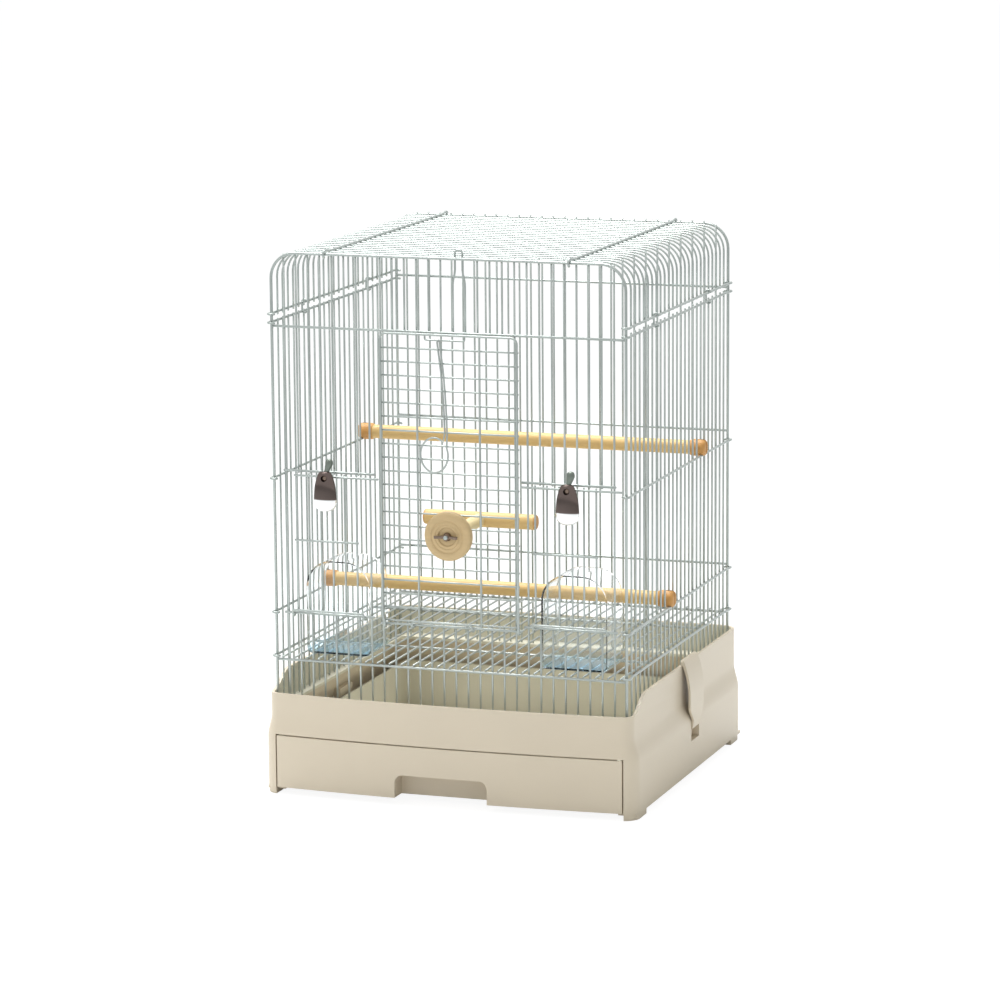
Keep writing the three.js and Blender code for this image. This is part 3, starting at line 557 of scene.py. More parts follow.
def arch_route(y, foot, steps=10):
    """Up one side, over the arch and down the other side."""
    right = arc(HALF_W - ARCH_R, ARCH_Z - ARCH_R, ARCH_R, 0, 90, steps)
    left = [(-x, z) for x, z in reversed(right)]
    return [(x, y, z) for x, z in [(HALF_W, foot), *right, *left, (-HALF_W, foot)]]


def upright(x, y, low, high):
    return [(x, y, low), (x, y, high)], R_UPRIGHT


def rail_x(y, z, left, right, radius=R_RAIL):
    return [(left, y, z), (right, y, z)], radius


# %% [markdown]
# The front panel is one sheet of wire with three openings left in it. Uprights stop at the rails
# above and below an opening. Two uprights in the middle close into a small eye over the arch. It
# could be drawn as several small grids, but one row of uprights keeps the pitch true across it.

# %% Front and back panels
DOOR_UPRIGHTS, EYE_UPRIGHTS = range(10, 20), (15, 16)
FEEDER_UPRIGHTS = (*range(2, 8), *range(22, 28))
DOOR_SILL_X = (up_x(9) - 2, DOOR_MID + DOOR_HALF + 3.4)
FEEDER_RAIL_X, FEEDER_SILL_X = (170, 75), (171, 76.4)
EYE_R, EYE_Z = 3.8, 540.2


def eye_route(y, left):
    """Two uprights that draw together over the arch and close in a small eye."""
    middle = left + PITCH / 2
    half = [(PITCH / 2, ROOF_RAIL_Z - TAIL), (PITCH / 2, 511), (5.6, 515), (4.2, 521),
            (EYE_R, 525), (EYE_R, 539.5)]
    top = arc(0, EYE_Z, EYE_R, 180, 0, 8)
    left_side = [(-dx, z) for dx, z in half]
    return [(middle + dx, y, z) for dx, z in [*left_side, *top[1:-1], *half[::-1]]]


def front_wires():
    y, rail_y = -HALF_D, -HALF_D - RAIL_OUT
    wires = [(arch_route(y - EDGE_OUT, FOOT_Z), R_EDGE),
             (eye_route(y, up_x(EYE_UPRIGHTS[0])), R_UPRIGHT)]
    for i in range(1, GAPS):
        x = up_x(i)
        top = arch_z(x) + TAIL
        if i in DOOR_UPRIGHTS:
            wires.append(upright(x, y, FOOT_Z, SILL_Z + TAIL))
            if i not in EYE_UPRIGHTS:
                wires.append(upright(x, y, ROOF_RAIL_Z - 2.2, top))
        elif i in FEEDER_UPRIGHTS:
            wires.append(upright(x, y, FOOT_Z, FEEDER_SILL_Z + TAIL))
            wires.append(upright(x, y, FEEDER_RAIL_Z - TAIL, top))
        else:
            wires.append(upright(x, y, FOOT_Z, top))
    wires.append(rail_x(rail_y, ROOF_RAIL_Z, -HALF_W, HALF_W))
    wires.append(rail_x(rail_y, GRID_RAIL_Z, -HALF_W, HALF_W))
    wires.append(rail_x(rail_y, SILL_Z, *DOOR_SILL_X))
    for s in (-1, 1):
        for z, ends in ((FEEDER_RAIL_Z, FEEDER_RAIL_X), (FEEDER_SILL_Z, FEEDER_SILL_X)):
            wires.append(rail_x(rail_y, z, *(s * x for x in ends)))
    return wires


def back_wires():
    y = HALF_D
    wires = [(arch_route(y + EDGE_OUT, FOOT_Z), R_EDGE)]
    wires += [upright(up_x(i), y, FOOT_Z, arch_z(up_x(i)) + TAIL) for i in range(1, GAPS)]
    wires += [rail_x(y + RAIL_OUT, z, -HALF_W, HALF_W) for z in BACK_RAILS_Z]
    return wires


wire_piece("front_wires", front_wires(), "cage", "front_panel")
wire_piece("back_wires", back_wires(), "cage", "back_panel")

# %% [markdown]
# The side panels clip to the front and back by hooks: each side rail runs past the last upright
# and curls round the thick edge wire. The roof is a separate grille that hooks on in the same way,
# and four small rings tie it to the side panels.

# %% Side panels, roof and rings
HOOK_LEAD = (10, 5, 1)
ROOF_FOOT_Z, ROOF_LONG_X = ROOF_SIDE_Z - 2.6, 124.0
TIE_R, TIES = R_RAIL + 1.25, (("front", 6.5), ("back", 19.5))


def hooked(out, grip):
    """(distance out, y) points of a rail that curls round the edge wire at both ends."""
    straight, halfway, near = (-HALF_D + lead for lead in HOOK_LEAD)
    hook = arc(grip, -HALF_D - EDGE_OUT, HOOK_R, 0, -170, 10)
    end = [(out, straight), (mix(out, grip + HOOK_R, 0.45), halfway), (grip + HOOK_R, near), *hook]
    return [*reversed(end), *[(a, -b) for a, b in end]]


def side_rail(s, z):
    return [(s * out, y, z) for out, y in hooked(HALF_W + RAIL_OUT, HALF_W)], R_RAIL


def side_wires(s):
    uprights = [
        upright(s * HALF_W, side_y(j), FOOT_Z, SIDE_TOP_Z + TAIL) for j in range(1, SIDE_GAPS)
    ]
    return uprights + [side_rail(s, z) for z in SIDE_RAILS_Z]


def roof_wires():
    wires = [(arch_route(side_y(j), ROOF_FOOT_Z, 8), R_UPRIGHT) for j in range(1, SIDE_GAPS)]
    for s in (-1, 1):
        wires.append(side_rail(s, ROOF_SIDE_Z))
        long_rail = [(s * ROOF_LONG_X, y, z) for z, y in hooked(ARCH_Z + RAIL_OUT, ARCH_Z)]
        wires.append((long_rail, R_RAIL))
    return wires


def tie_ring(s, y):
    """A thin wire bent round the roof's low rail and the side panel's top rail."""
    x = s * (HALF_W + RAIL_OUT)
    loop = [*arc(x, ROOF_SIDE_Z, TIE_R, -10, 190, 12), *arc(x, SIDE_TOP_Z, TIE_R, 170, 350, 12)]
    return [(a, y, b) for a, b in loop], R_THIN


wire_piece("roof_wires", roof_wires(), "cage", "roof_grille")
for word, s in (("left", -1), ("right", 1)):
    wire_piece(f"side_wires_{word}", side_wires(s), "cage", f"side_panel_{word}")
    for end, j in TIES:
        tie = [tie_ring(s, side_y(j))]
        wire_piece(f"tie_ring_{word}_{end}", tie, "cage", f"ring_clip_{word}_{end}")

# %% [markdown]
# The floor grid lies on the bottom rails: 29 wires in depth, welded over two cross wires. Each of
# its wires lies midway between two uprights of the front and back panels.

# %% Floor grid
GRID_Z, GRID_OVER = 136.5, 3
CROSS_Y, CROSS_HALF = 85, 177.4


def grid_wires():
    wires = []
    for k in range(GAPS):
        x = up_x(k) + PITCH / 2
        ends = [(x, s * (HALF_D + GRID_OVER), GRID_Z) for s in (-1, 1)]
        wires.append((ends, R_UPRIGHT))
    for y in (-CROSS_Y, CROSS_Y):
        wires.append(rail_x(y, GRID_Z - RAIL_OUT, -CROSS_HALF, CROSS_HALF))
    return wires


wire_piece("grid_wires", grid_wires(), "cage", "floor_grid")

# %% [markdown]
# The large door is a bent frame with two inner uprights and 21 rows. Its two sides curl round the
# panel's sill rail, which is the hinge, and a short bar in the middle curls round it as well.

# %% Large door
DOOR_TOP_Z, DOOR_Y, DOOR_CORNER = 462.0, -HALF_D - 5, 6
DOOR_ROW_Y, ROW_OVER = DOOR_Y + 1.9, 1.3
DOOR_ROW_Z, DOOR_ROW_PITCH, DOOR_ROWS = 180.7, 13.35, 21
DOOR_LEFT_X, DOOR_RIGHT_X = DOOR_MID - DOOR_HALF, DOOR_MID + DOOR_HALF
DOOR_CURL_X, DOOR_INNER_X, HINGE_BAR_X = up_x(9) + 2.8, 31.9, (-37.2, 24.8)
HINGE_R = 3.0


def curl(x, z):
    """The end of a hinge wire, bent round the panel's rail of height z."""
    return [(x, a, b) for a, b in arc(-HALF_D - RAIL_OUT, z, HINGE_R, 20, -180, 10)]


def door_frame():
    """Up from the right curl, over the top and down to the left curl, which lies further in."""
    c = DOOR_CORNER
    bend = arc(DOOR_HALF - c, DOOR_TOP_Z - c, c, 0, 90, 8)
    right = [*curl(DOOR_RIGHT_X, SILL_Z), *[(DOOR_MID + x, DOOR_Y, z) for x, z in bend]]
    left = [*curl(DOOR_CURL_X, SILL_Z), (DOOR_CURL_X, DOOR_Y, SILL_Z + 1.4),
            (mix(DOOR_CURL_X, DOOR_LEFT_X, 0.5), DOOR_Y, SILL_Z + 4.2),
            (DOOR_LEFT_X, DOOR_Y, SILL_Z + 7), *[(DOOR_MID - x, DOOR_Y, z) for x, z in bend]]
    return right + left[::-1], R_FRAME


def hinge_bar():
    def half(x, inward):
        return [*curl(x, SILL_Z), (x + inward * 0.6, DOOR_Y, SILL_Z + 2.6),
                (x + inward * 2.6, DOOR_Y, SILL_Z + 3.7)]

    left, right = HINGE_BAR_X
    return half(left, 1) + half(right, -1)[::-1], R_BAR


def door_wires():
    wires = [door_frame()]
    for x in (DOOR_MID - DOOR_INNER_X, DOOR_MID + DOOR_INNER_X):
        wires.append(([(x, DOOR_Y, DOOR_ROW_Z - 2), (x, DOOR_Y, DOOR_TOP_Z)], R_BAR))
    for k in range(DOOR_ROWS):
        z = DOOR_ROW_Z + DOOR_ROW_PITCH * k
        wires.append(rail_x(DOOR_ROW_Y, z, DOOR_LEFT_X - ROW_OVER, DOOR_RIGHT_X + ROW_OVER, R_THIN))
    return [*wires, hinge_bar()]


wire_piece("door_wires", door_wires(), "large_door", "large_door")

# %% [markdown]
# The latch rod is one long bent wire. Its ends make a catch bar inside the panel, two strands run
# down side by side in front of the door, and a ring at the foot is there for a finger to lift.

# %% Latch rod
CATCH_Z, CATCH_Y, STRAND_Y = 456.0, -HALF_D + 1.6, DOOR_Y - 0.4
CATCH_ENDS_X, STRANDS_X = (-23.5, 17), (-8.3, -5.9)
STRAND_BEND = ((1.6, 442), (3.6, 426), (5.3, 404), (6.4, 384), (6.9, 367))
RING_X, RING_Z, RING_HALF_W, RING_HALF_H = -12.3, 345.5, 14, 17


def catch_end(x, inward, strand):
    """From a turned-up end along the catch bar, then forward to the top of a strand."""
    in_y, out_y, z = CATCH_Y, STRAND_Y, CATCH_Z
    return [
        (x, in_y, z + 4.4), (x, in_y, z + 1.4), (x + inward * 0.4, in_y, z + 0.4),
        (x + inward * 1.4, in_y, z), (strand - inward * 2, in_y, z),
        (strand - inward * 0.5, in_y - 0.5, z), (strand, in_y - 1.4, z),
        (strand, out_y + 1.2, z), (strand, out_y + 0.35, z - 0.35), (strand, out_y, z - 1.2),
    ]


def latch_route():
    down, up = ([(x + dx, STRAND_Y, z) for dx, z in STRAND_BEND] for x in STRANDS_X)
    loop = arc(RING_X, RING_Z, RING_HALF_W, 50, 385, 36, RING_HALF_H)
    return [*catch_end(CATCH_ENDS_X[0], 1, STRANDS_X[0]), *down,
            *[(x, STRAND_Y, z) for x, z in loop],
            *up[::-1], *catch_end(CATCH_ENDS_X[1], -1, STRANDS_X[1])[::-1]]


wire_piece("latch_wire", [(latch_route(), R_THIN)], "latch_rod", "latch_rod")

# %% [markdown]
# The two feeder doors are small grilles of six uprights with a top, a middle and a bottom bar. The
# bottom bar's ends curl round the panel's rail. The right door is a little wider than the left, so
# each has its own places for the uprights and ends.

# %% Feeder doors
FEEDER_ROW_Y = DOOR_Y - 1.8
FEEDER_TOP_Z, FEEDER_MID_Z = 319.0, 255
BAR_OVER, CURL_IN = 2.4, 6.2
FEEDERS = {
    "left": ([up_x(i) for i in range(2, 8)], (-157.4, -69.6), (1, 8)),
    "right": ([89.5, 101.5, 113.7, 126.8, 138.5, 150.9], (75, 178), (21, 28)),
}


def bottom_bar(left, right):
    def half(x, inward):
        return [*curl(x, FEEDER_SILL_Z),
                (x + inward * 0.4, FEEDER_ROW_Y + 0.9, FEEDER_SILL_Z + 2.6),
                (x + inward * 1.1, FEEDER_ROW_Y + 0.2, FEEDER_SILL_Z + 3.3),
                (x + inward * 2.4, FEEDER_ROW_Y, FEEDER_SILL_Z + 3.6)]

    return half(left, 1) + half(right, -1)[::-1], R_BAR


def feeder_wires(xs, top_ends, beside):
    """From the uprights' places, the top bar's ends and the panel uprights beside the curls."""
    return [
        *[upright(x, DOOR_Y, FEEDER_SILL_Z + 1.6, FEEDER_TOP_Z + 2.6) for x in xs],
        rail_x(FEEDER_ROW_Y, FEEDER_TOP_Z, *top_ends, R_BAR),
        rail_x(FEEDER_ROW_Y, FEEDER_MID_Z, xs[0] - BAR_OVER, xs[-1] + BAR_OVER, R_BAR),
        bottom_bar(up_x(beside[0]) + CURL_IN, up_x(beside[1]) - CURL_IN),
    ]


for word, places in FEEDERS.items():
    door = f"feeder_door_{word}"
    wire_piece(f"feeder_wires_{word}", feeder_wires(*places), door, door)

# %% [markdown]
# Perches and their knobs are turned, so they are profiles spun about an axis. The maker below
# takes (distance along, radius) pairs and adds a fine rounding wherever the profile turns.
# %% Turning
AXES = {"X": (0, 1, 2), "Y": (1, 2, 0), "Z": (2, 0, 1)}


def spun_ring(bm, along, radius, axis, centre, sides):
    """A ring of points about an axis, or one point where the radius is 0."""
    main, first, second = AXES[axis]
    ring = []
    for j in range(sides if radius > 0 else 1):
        a = 2 * math.pi * j / sides
        p = list(centre)
        p[main] += along
        p[first] += radius * math.cos(a)
        p[second] += radius * math.sin(a)
        ring.append(bm.verts.new(Vector(p) * MM))
    return ring


def add_turned(bm, profile, axis, centre, sides=40):
    """Spin (along, radius) pairs about `axis` through `centre`; closed where the radius is 0."""
    rings = [spun_ring(bm, along, radius, axis, centre, sides) for along, radius in profile]
    for one, two in zip(rings, rings[1:]):
        if len(one) == len(two):
            bridge(bm, one, two)
            continue
        for j in range(sides):
            n = (j + 1) % sides
            tip_first = len(one) == 1
            bm.faces.new((one[0], two[n], two[j]) if tip_first else (one[j], one[n], two[0]))


def turned(name, profile, axis, centre, sides=40, sharp=None):
    """A turned piece, or a turned cutting tool."""
    bm = bmesh.new()
    add_turned(bm, profile, axis, centre, sides)
    return mesh_object(name, bm, sharp)


def rod(name, start, end, radius, axis, centre, sides):
    """A plain round rod, used to join or to cut."""
    profile = [(start, 0), (start, radius), (end, radius), (end, 0)]
    return turned(name, profile, axis, centre, sides)


def eased(profile, ease=0.6):
    """Swap each inner corner of a profile for three points, so its edges catch the light."""
    out = [profile[0]]
    for before, here, after in zip(profile, profile[1:], profile[2:]):
        a, b, c = Vector(before), Vector(here), Vector(after)
        back = min(ease, (a - b).length * 0.4)
        on = min(ease, (c - b).length * 0.4)
        start, end = b + (a - b).normalized() * back, b + (c - b).normalized() * on
        out += [tuple(start), tuple(start.lerp(end, 0.5).lerp(b, 0.4)), tuple(end)]
    return out + [profile[-1]]


# %% [markdown]
# Slots, holes and hollows are cut with exact booleans, as a mill would cut them: the tool is a
# solid of its own, is taken away from the piece, and is then thrown away. New edges are marked
# crisp afterwards, because smooth shading across a cut would look like a dent.

# %% Cutting tools


def cut_with(obj, cutter, operation="DIFFERENCE"):
    """Apply an exact boolean and remove the cutter."""
    tool = obj.modifiers.new("cut", "BOOLEAN")
    tool.operation = operation
    tool.solver = "EXACT"
    tool.object = cutter
    with bpy.context.temp_override(object=obj, active_object=obj, selected_objects=[obj]):
        bpy.ops.object.modifier_apply(modifier=tool.name)
    bpy.data.objects.remove(cutter)


def block(name, low, high):
    """A plain box between two corners, used only as a cutting tool."""
    bm = bmesh.new()
    size = [(b - a) * MM for a, b in zip(low, high)]
    middle = Vector([(a + b) / 2 * MM for a, b in zip(low, high)])
    place = Matrix.Translation(middle) @ Matrix.Diagonal((*size, 1))
    bmesh.ops.create_cube(bm, size=1, matrix=place)
    return mesh_object(name, bm)


def sharpen(obj, degrees=30):
    """Mark edges above an angle as crisp after a boolean."""
    limit = math.radians(degrees)
    bm = bmesh.new()
    bm.from_mesh(obj.data)
    for edge in bm.edges:
        edge.smooth = not (len(edge.link_faces) == 2 and edge.calc_face_angle(0) > limit)
    for face in bm.faces:
        face.smooth = True
    bm.to_mesh(obj.data)
    bm.free()


def on_side(s, a, b):
    """The stretch from a to b on side s of the cage, low end first."""
    return sorted((s * a, s * b))


# %% [markdown]
# The two long perches are sticks with a darker knob at each end. A knob has an upright slot that
# straddles one wire of the side panel, and a notch below that sits on its rail, so a perch can be
# moved to any gap. The stick is turned whole first, and the slots are cut from it.

# %% Perches
PERCH_R, KNOB_R, PERCH_END, KNOB_L = 7.0, 8.5, 186.0, 16.0
PERCH_SEAT, OVER_RAIL = R_EDGE + 0.1, 6.0
SLOT_HALF, NOTCH_HALF, CUT_REACH = 1.35, 1.7, 12


def mirrored(half):
    """A profile on both sides of its middle, from the half that runs outwards."""
    return [(-a, r) for a, r in reversed(half)] + half


def perch(name, y, rail_z, node):
    z = rail_z + PERCH_SEAT + OVER_RAIL
    knob = PERCH_END - KNOB_L
    half = [(knob - 1, PERCH_R), (knob, KNOB_R - 0.6), (knob + 1.6, KNOB_R),
            (PERCH_END - 4, KNOB_R), (PERCH_END - 1.6, KNOB_R - 0.6),
            (PERCH_END - 0.3, KNOB_R - 2), (PERCH_END, KNOB_R - 3.6), (PERCH_END, 0)]
    obj = turned(name, eased(mirrored(half), 0.5), "X", (0, y, z), sharp=50)
    low, high = z - CUT_REACH, z + CUT_REACH
    for s in (-1, 1):
        x0, x1 = on_side(s, HALF_W - 3, PERCH_END + 2)
        cut_with(obj, block("slot", (x0, y - SLOT_HALF, low), (x1, y + SLOT_HALF, high)))
        rail_x0 = HALF_W + RAIL_OUT
        x0, x1 = on_side(s, rail_x0 - NOTCH_HALF, rail_x0 + NOTCH_HALF)
        cut_with(obj, block("notch", (x0, y - CUT_REACH, low), (x1, y + CUT_REACH, z - OVER_RAIL)))
    sharpen(obj)
    settle(obj, "cage", node, "perch_wood", PERCH_WOOD, KNOB_WOOD)
    for face in obj.data.polygons:
        face.material_index = int(abs(face.center.x) > (knob - 0.4) * MM)
    print(name, "axis at a height of", round(z, 1), "mm")


perch("upper_perch", side_y(18), SIDE_MID_Z, "perch_upper")
perch("lower_perch", side_y(10), SIDE_LOW_Z, "perch_lower")

# %% [markdown]
# The perch on the large door is T-shaped. A turned disc lies on the outside of the rows, a stem on
# the inside, and a bolt with a wing nut clamps the two. The disc is one closed profile round the
# bolt hole, with a soft outer rim, turned rings and a shallow seat for the nut.

# %% Perch on the large door
TEE_Z, TEE_BAR_Y, TEE_BAR_R, TEE_BAR_HALF = 267.5, -85.0, 7.5, 58.5
TEE_FACE_Y, TEE_BACK_Y = DOOR_ROW_Y - 1.3, DOOR_ROW_Y + 1.3
DISC_FRONT_Y = TEE_FACE_Y - 8
NUT_Y = DISC_FRONT_Y + 1.2
BOLT_AT = (DOOR_MID, 0, TEE_Z)
DISC_R, STEM_R, BOLT_HOLE_R = 24, 6.5, 2.3


def perch_disc():
    y, f, r = TEE_FACE_Y, DISC_FRONT_Y, DISC_R
    profile = [(y, BOLT_HOLE_R), (y, r - 1), (y - 0.3, r - 0.3), (y - 1, r), (f + 3, r),
               (f + 1.5, r - 0.6), (f + 0.5, r - 2), (f, 20), (f, 17), (f + 0.8, 16),
               (f + 0.8, 15.2), (f + 0.1, 14), (f, 12.6), (f + 0.6, 11.8), (f, 11), (f, 9.4),
               (NUT_Y - 0.2, 8.7), (NUT_Y, 8.2), (NUT_Y, BOLT_HOLE_R)]
    closed = eased([*profile, profile[0]], 0.3)[:-1]
    bm = bmesh.new()
    rings = [spun_ring(bm, along, radius, "Y", BOLT_AT, 56) for along, radius in closed]
    for one, two in zip(rings, rings[1:] + rings[:1]):
        bridge(bm, one, two)
    disc = mesh_object("perch_disc_turned", bm, 50)
    settle(disc, "large_door", "perch_disc", "perch_wood", DISC_WOOD)


def perch_stem():
    y, end = TEE_BACK_Y, TEE_BAR_Y + 2
    profile = [(y + 26, 0), (y + 26, BOLT_HOLE_R), (y, BOLT_HOLE_R), (y, 5.8),
               (y + 0.8, STEM_R), (end, STEM_R), (end, 0)]
    stem = turned("perch_stem_turned", profile, "Y", BOLT_AT)
    cut_with(stem, rod("bar_seat", -20, 20, TEE_BAR_R + 0.1, "X", (0, TEE_BAR_Y, TEE_Z), 64))
    sharpen(stem, 40)
    settle(stem, "large_door", "perch_stem", "perch_wood", STEM_WOOD)


def perch_bar():
    end, r = TEE_BAR_HALF, TEE_BAR_R
    half = [(end - 9, r), (end - 1.6, r), (end - 0.5, r - 0.6), (end, r - 1.8), (end, 0)]
    profile = eased(mirrored(half), 0.4)
    bar = turned("perch_bar_turned", profile, "X", (DOOR_MID, TEE_BAR_Y, TEE_Z), sharp=50)
    settle(bar, "large_door", "perch_cross_bar", "perch_wood", PERCH_WOOD, KNOB_WOOD)
    for face in bar.data.polygons:
        face.material_index = int(abs(face.center.x - DOOR_MID * MM) > (end - 2) * MM)


perch_disc()
perch_stem()
perch_bar()
print("door perch at a height of", TEE_Z, "mm")

# %% [markdown]
# The bolt has a real thread where it shows. A helix is easiest as rings whose radius rises and
# falls with the height and the angle together, which needs no modifier and stays closed.

# %% Bolt
THREAD_PITCH, THREAD_DEPTH, THREAD_LENGTH, THREAD_RINGS = 0.8, 0.28, 22, 140
BOLT_R, BOLT_SIDES, BOLT_POINT = 2.0, 20, 0.25


def threaded_bolt():
    low, high = NUT_Y - 6.4, TEE_BACK_Y + 25
    turns = [2 * math.pi * j / BOLT_SIDES for j in range(BOLT_SIDES)]
    bm = bmesh.new()

    def point(y, a, r):
        return bm.verts.new(Vector((DOOR_MID + r * math.sin(a), y, TEE_Z + r * math.cos(a))) * MM)

    rings = []
    for k in range(THREAD_RINGS + 1):
        y = mix(low, low + THREAD_LENGTH, k / THREAD_RINGS)
        fade = min(1, k / 4, (THREAD_RINGS - k) / 4)
        end = BOLT_POINT if k == 0 else 0
        ring = []
        for a in turns:
            wave = 0.5 + 0.5 * math.cos(2 * math.pi * (y / THREAD_PITCH) - a)
            ring.append(point(y, a, BOLT_R - THREAD_DEPTH * fade * wave - end))
        rings.append(ring)
    rings.append([point(high, a, BOLT_R - 0.02) for a in turns])
    for one, two in zip(rings, rings[1:]):
        bridge(bm, one, two)
    bm.faces.new(rings[0])
    bm.faces.new(rings[-1][::-1])
    bolt = mesh_object("perch_bolt_threaded", bm, 60)
    settle(bolt, "large_door", "perch_bolt", "steel_wire", PLATED)
    print("bolt faces:", len(bolt.data.polygons))


threaded_bolt()

# %% [markdown]
# No cast or moulded part has a perfectly sharp edge, so a bevel rounds every edge over a set angle
# and keeps the flats flat. The solids are lofted: a closed outline is repeated at several places,
# and bands of faces join each copy to the next.

# %% Soft edges and lofted solids
SOFT_ANGLE = 35


def baked(obj):
    """Replace a piece's mesh by what its modifiers make of it."""
    graph = bpy.context.evaluated_depsgraph_get()
    mesh = bpy.data.meshes.new_from_object(obj.evaluated_get(graph))
    obj.modifiers.clear()
    obj.data = mesh
    return obj


def soften(obj, width, segments=2):
    """Round every edge that is sharper than a set angle."""
    bevel = obj.modifiers.new("soft_edges", "BEVEL")
    bevel.width = width * MM
    bevel.segments = segments
    bevel.limit_method = "ANGLE"
    bevel.angle_limit = math.radians(SOFT_ANGLE)
    bevel.harden_normals = True
    bevel.miter_outer = "MITER_ARC"
    return baked(obj)


def loft(name, rings):
    """A closed solid through rings with as many points in each."""
    bm = bmesh.new()
    rings = [[bm.verts.new(Vector(p) * MM) for p in ring] for ring in rings]
    bm.faces.new(rings[0][::-1])
    bm.faces.new(rings[-1])
    for one, two in zip(rings, rings[1:]):
        bridge(bm, one, two)
    return mesh_object(name, bm)


def stack(name, levels):
    """A solid through levels of (height, outline of (x, y))."""
    return loft(name, [[(x, y, z) for x, y in outline] for z, outline in levels])


def prism_x(name, outline, x0, x1):
    """A solid from an outline of (y, z), between two places across."""
    return loft(name, [[(x, y, z) for y, z in outline] for x in (x0, x1)])


def prism_y(name, outline, y0, y1):
    """A solid from an outline of (x, z), between two depths."""
    return loft(name, [[(x, y, z) for x, z in outline] for y in (y0, y1)])


def flowing(points, steps=5):
    """A smooth curve through points of the plane."""
    ends = [points[0], *points, points[-1]]
    out = []
    for a, b, c, d in zip(ends, ends[1:], ends[2:], ends[3:]):
        for k in range(steps):
            t = k / steps
            out.append(tuple(
                0.5 * (2 * q + (r - p) * t + (2 * p - 5 * q + 4 * r - u) * t * t
                       + (3 * q - p - 3 * r + u) * t**3)
                for p, q, r, u in zip(a, b, c, d)
            ))
    return [*out, tuple(points[-1])]


# %% [markdown]
# The wing nut is cast. A turned hub and two flat wings are joined before the edges are softened, so
# the wings run into the hub as they do on a casting, and the bore is cut through all of it.

# %% Wing nut
NUT_BORE_R, WING_HALF = 2.06, 1.2
WING = [(1.5, 1), (5.4, 1.4), (9.4, 2.4), (11.5, 3.8), (12, 5.4), (11, 6.8), (8.6, 6.2),
        (5.8, 4.8), (1.5, 4.2)]


def wing_nut():
    y = NUT_Y
    hub = [(y - 4.6, 0), (y - 4.6, 2.9), (y - 3, 3.9), (y, 4.4), (y, 0)]
    nut = turned("wing_nut_cast", hub, "Y", BOLT_AT, 36)
    edge = flowing([(x, y - out) for x, out in WING], 4)
    for s in (-1, 1):
        outline = [(DOOR_MID + s * x, v) for x, v in edge][::s]
        wing = stack("wing", [(TEE_Z - WING_HALF, outline), (TEE_Z + WING_HALF, outline)])
        cut_with(nut, wing, "UNION")
    cut_with(nut, rod("nut_bore", y - 20, y + 6, NUT_BORE_R, "Y", BOLT_AT, 28))
    soften(nut, 0.35)
    settle(nut, "wing_nut", "wing_nut", "steel_wire", CAST_METAL)
    print("wing nut faces:", len(nut.data.polygons))


wing_nut()

# %% [markdown]
# The drops that hold the feeder doors are plated bright, and on the real cage they mirror the dark
# of a room in their upper half. A height tint stands in for that room: it blends from a bright foot
# to a dark neck. The same tint makes the clear cups bluer towards the bottom.

# %% Height tint
MIX_A, MIX_B, MIX_RESULT = 6, 7, 2  # the colour sockets of a Mix node


def build_height_tint():
    tree, given, result = node_group(
        "height_tint",
        [
            ("Low Color", COLOUR, (1, 1, 1, 1)),
            ("High Color", COLOUR, (0, 0, 0, 1)),
            ("From", NUMBER, 0.0),
            ("To", NUMBER, 1.0),
        ],
        [("Color", COLOUR)],
    )
    where = tree.nodes.new("ShaderNodeTexCoord")
    split = tree.nodes.new("ShaderNodeSeparateXYZ")
    span = tree.nodes.new("ShaderNodeMapRange")
    span.interpolation_type = "SMOOTHSTEP"
    blend = tree.nodes.new("ShaderNodeMix")
    blend.data_type = "RGBA"
    tree.links.new(where.outputs["Object"], split.inputs[0])
    tree.links.new(split.outputs["Z"], span.inputs["Value"])
    tree.links.new(given.outputs["From"], span.inputs["From Min"])
    tree.links.new(given.outputs["To"], span.inputs["From Max"])
    tree.links.new(span.outputs[0], blend.inputs["Factor"])
    tree.links.new(given.outputs["Low Color"], blend.inputs[MIX_A])
    tree.links.new(given.outputs["High Color"], blend.inputs[MIX_B])
    tree.links.new(blend.outputs[MIX_RESULT], result.inputs["Color"])
    return tree


HEIGHT_TINT = build_height_tint()


def tint_by_height(material, low, high, start, end):
    """Feed a finish's base colour from the height tint, between two heights in millimetres."""
    tree = material.node_tree
    texture = next(n for n in tree.nodes if n.type == "GROUP")
    tint = tree.nodes.new("ShaderNodeGroup")
    tint.node_tree = HEIGHT_TINT
    tint.inputs["Low Color"].default_value = low
    tint.inputs["High Color"].default_value = high
    tint.inputs["From"].default_value = start * MM
    tint.inputs["To"].default_value = end * MM
    tree.links.new(tint.outputs["Color"], texture.inputs["Base"])
    return material


DROP_CHROME = tint_by_height(CHROME, linear(250, 250, 250), linear(104, 92, 88), 297.4, 298.6)
CUP_CLEAR = tint_by_height(CLEAR, linear(216, 239, 252), linear(252, 254, 255), 138, 150)
print("tinted:", DROP_CHROME.name, CUP_CLEAR.name)

# %% [markdown]
# Each drop turns on a rivet and hangs in front of its feeder door. Its body is a turned profile
# pressed flat, with a round boss joined on and a seat cut for the rivet's head. The finger at the
# top is duller metal, so it is a second piece on the same body, turned and then leant to one side.

# %% Drops and their rivets
LATCH_Y = FEEDER_ROW_Y - 1.4
DROP_Y, DROP_FLATNESS, FINGER_FLATNESS = LATCH_Y - 0.6, 0.44, 0.9
DROP_TOP_Z, DROP_LOW_Z = 325.5, 286.0
RIVET_R, RIVET_HEAD_R, RIVET_SEAT_R, RIVET_BORE_R, BOSS_R, BOSS_DEPTH = 1.5, 2.8, 3.1, 1.6, 4.6, 5.6
DROPS = (("left", -122, 4), ("right", 125, 3))


